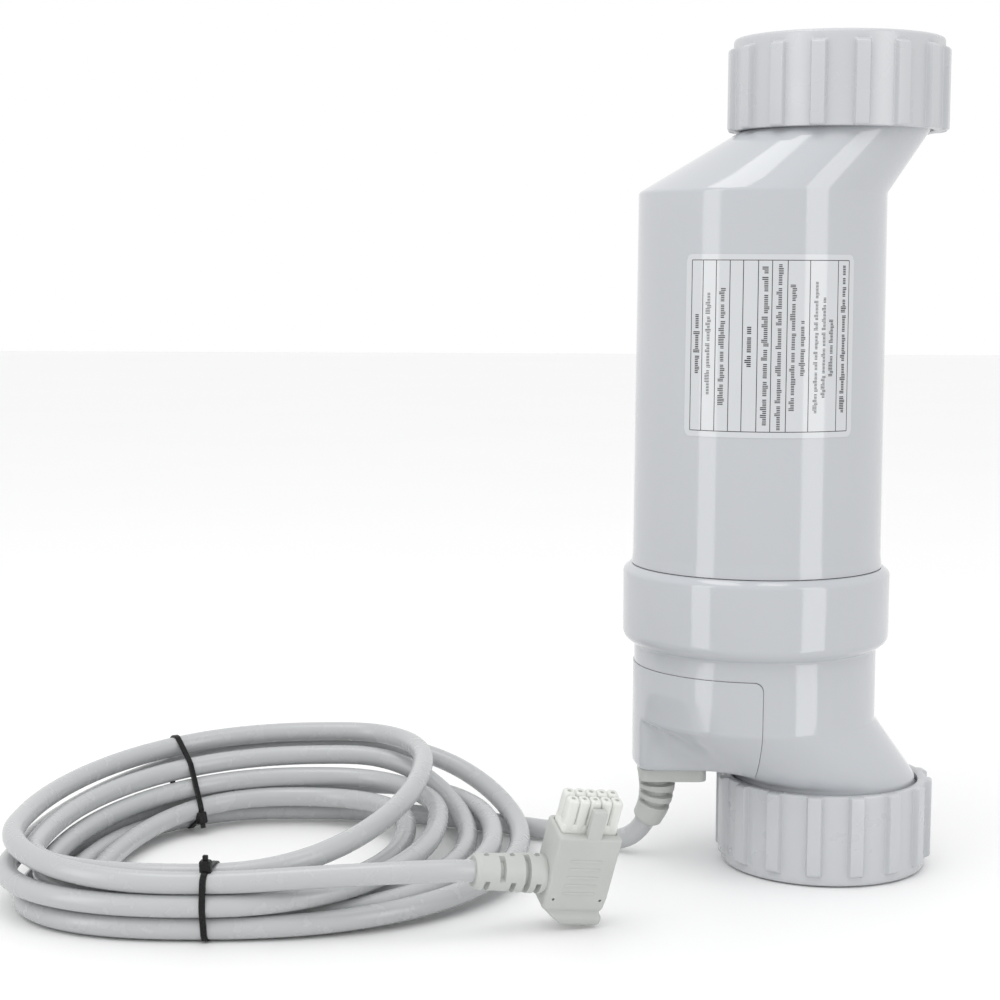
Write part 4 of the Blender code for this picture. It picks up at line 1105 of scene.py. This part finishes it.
def plug_boot():
    """The slotted boot on the side of the hood, with its slots turned a quarter at every level."""
    start = Vector((HOOD_X[0] + 0.0004, 0.0, BOOT_AXIS_Z))
    length = BOOT_LENGTH + 0.0007
    line = [PLUG @ (start + Vector((-length * step / 60, 0.0, 0.0))) for step in range(61)]

    def radius_at(at, total):
        taper = BOOT_RADII[0] + (BOOT_RADII[1] - BOOT_RADII[0]) * at / total
        return (taper - 0.0008 * (1 - smooth_edge(at, 0.0020))
                - 0.0011 * (1 - smooth_edge(total - at, 0.0016)))

    slots = []
    for at in (0.14, 0.49, 0.85):
        place = at * length
        slots += [(place - 0.0010, place + 0.0010, -46, 44), (place - 0.0010, place + 0.0010, 138, 43)]
    for at, middle, half in ((0.30, 20, 84), (0.65, 45, 42)):
        place = at * length
        slots += [(place - 0.0011, place + 0.0011, middle, half), (place - 0.0011, place + 0.0011, 226, 42)]
    front = PLUG.to_3x3() @ Vector((0, -1, 0))
    rows = boot_rows(line, front, radius_at, slots)
    made = lofted("plug_boot_sleeve", rows, "boot_rubber", False)
    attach(made, "housing")
    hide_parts("plug_boot")
    return made


# ---- CAD nodes that stay -------------------------------------------------------------------------
def dress_frame():
    """Gives every CAD node that is still shown its finished material."""
    slots = {item["node"]: item["material_slot"] for item in frame["record"]["subparts"]}
    for name, node in frame["nodes"].items():
        material = MATERIALS[slots[name]]
        if not node.material_slots:
            node.data.materials.append(material)
        for held in node.material_slots:
            held.material = material


# ---- studio --------------------------------------------------------------------------------------
FLOOR_HALF = 4.0
FLOOR_Y = (-0.25, 6.0)
FLOOR_Z = -0.0005
LIGHT_AIM = Vector((BODY_X, 0.0, 0.20))


def soft_box(name, azimuth, elevation, distance, width, height, radiance, mirrored=True):
    """A soft box that faces the cell. It is seen only in reflections, or else only lights."""
    data = bpy.data.lights.new(name, "AREA")
    data.shape = "RECTANGLE"
    data.size = width
    data.size_y = height
    data.energy = radiance * math.pi * width * height
    made = bpy.data.objects.new(name, data)
    bpy.context.scene.collection.objects.link(made)
    made.visible_diffuse = not mirrored
    made.visible_glossy = mirrored
    turn = math.radians(azimuth)
    rise = math.radians(elevation)
    away = Vector((math.sin(turn) * math.cos(rise), -math.cos(turn) * math.cos(rise), math.sin(rise)))
    place = LIGHT_AIM + distance * away
    made.location = place
    made.rotation_euler = (LIGHT_AIM - place).to_track_quat("-Z", "Y").to_euler()


def studio():
    scene = bpy.context.scene
    scene.view_settings.view_transform = "Standard"
    world = bpy.data.worlds.new("studio")
    scene.world = world
    world.use_nodes = True
    sky = world.node_tree.nodes["Background"]
    sky.inputs["Color"].default_value = (1.0, 1.0, 1.0, 1.0)
    sky.inputs["Strength"].default_value = 1.0
    mesh = bmesh.new()
    front, back = FLOOR_Y
    outline = ((-FLOOR_HALF, front), (FLOOR_HALF, front), (FLOOR_HALF, back), (-FLOOR_HALF, back))
    corners = [mesh.verts.new((x, y, FLOOR_Z)) for x, y in outline]
    mesh.faces.new(corners)
    surface("floor_white", (0.93, 0.93, 0.93), 0.60, mottle=0.004, mottle_scale=3.0, grain_scale=80.0)
    floor = finish_mesh(mesh, "studio_floor", "floor_white")
    soft_box("left_box", -53.0, 0.0, 1.60, 0.47, 2.4, 2.6)
    soft_box("right_box", 43.5, 0.0, 1.60, 0.60, 2.4, 2.9)
    soft_box("left_top_box", -90.0, 74.0, 1.80, 0.90, 0.50, 3.2)
    soft_box("right_top_box", 75.0, 82.0, 1.80, 0.40, 0.40, 3.4)
    soft_box("key_box", -25.0, 62.0, 1.60, 1.4, 1.4, 1.25, False)


def main():
    make_materials()
    add_camera()
    cord, line = cable()
    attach(cord, "housing")
    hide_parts("cable_lead_in", "cable_coil", "cable_lead_out")
    back_tie = tie("tie_band_back", line, 125.5, (-1.0, -0.4), (-0.35, -0.9), "cable_tie_back")
    front_tie = tie("tie_band_front", line, 259.5, (0.1, 1.0), (0.1, 0.99), "cable_tie_front")
    hood = plug_hood()
    insert = plug_insert()
    boot = plug_boot()
    upper_shell()
    lower_shell()
    terminal_cover()
    union_nut("lower_nut_ring", "lower_union_nut", "lower_nut", 0.0, 1, LOWER_RIB_PHASE)
    union_nut("upper_nut_ring", "upper_union_nut", "upper_nut", HEIGHT, -1, UPPER_RIB_PHASE)
    tailpiece("lower_socket_end", "lower_tailpiece", "lower_coupler", 0.0, 1)
    tailpiece("upper_socket_end", "upper_tailpiece", "upper_coupler", HEIGHT, -1)
    film()
    label_print()
    strain_relief()
    dress_frame()
    studio()


main()
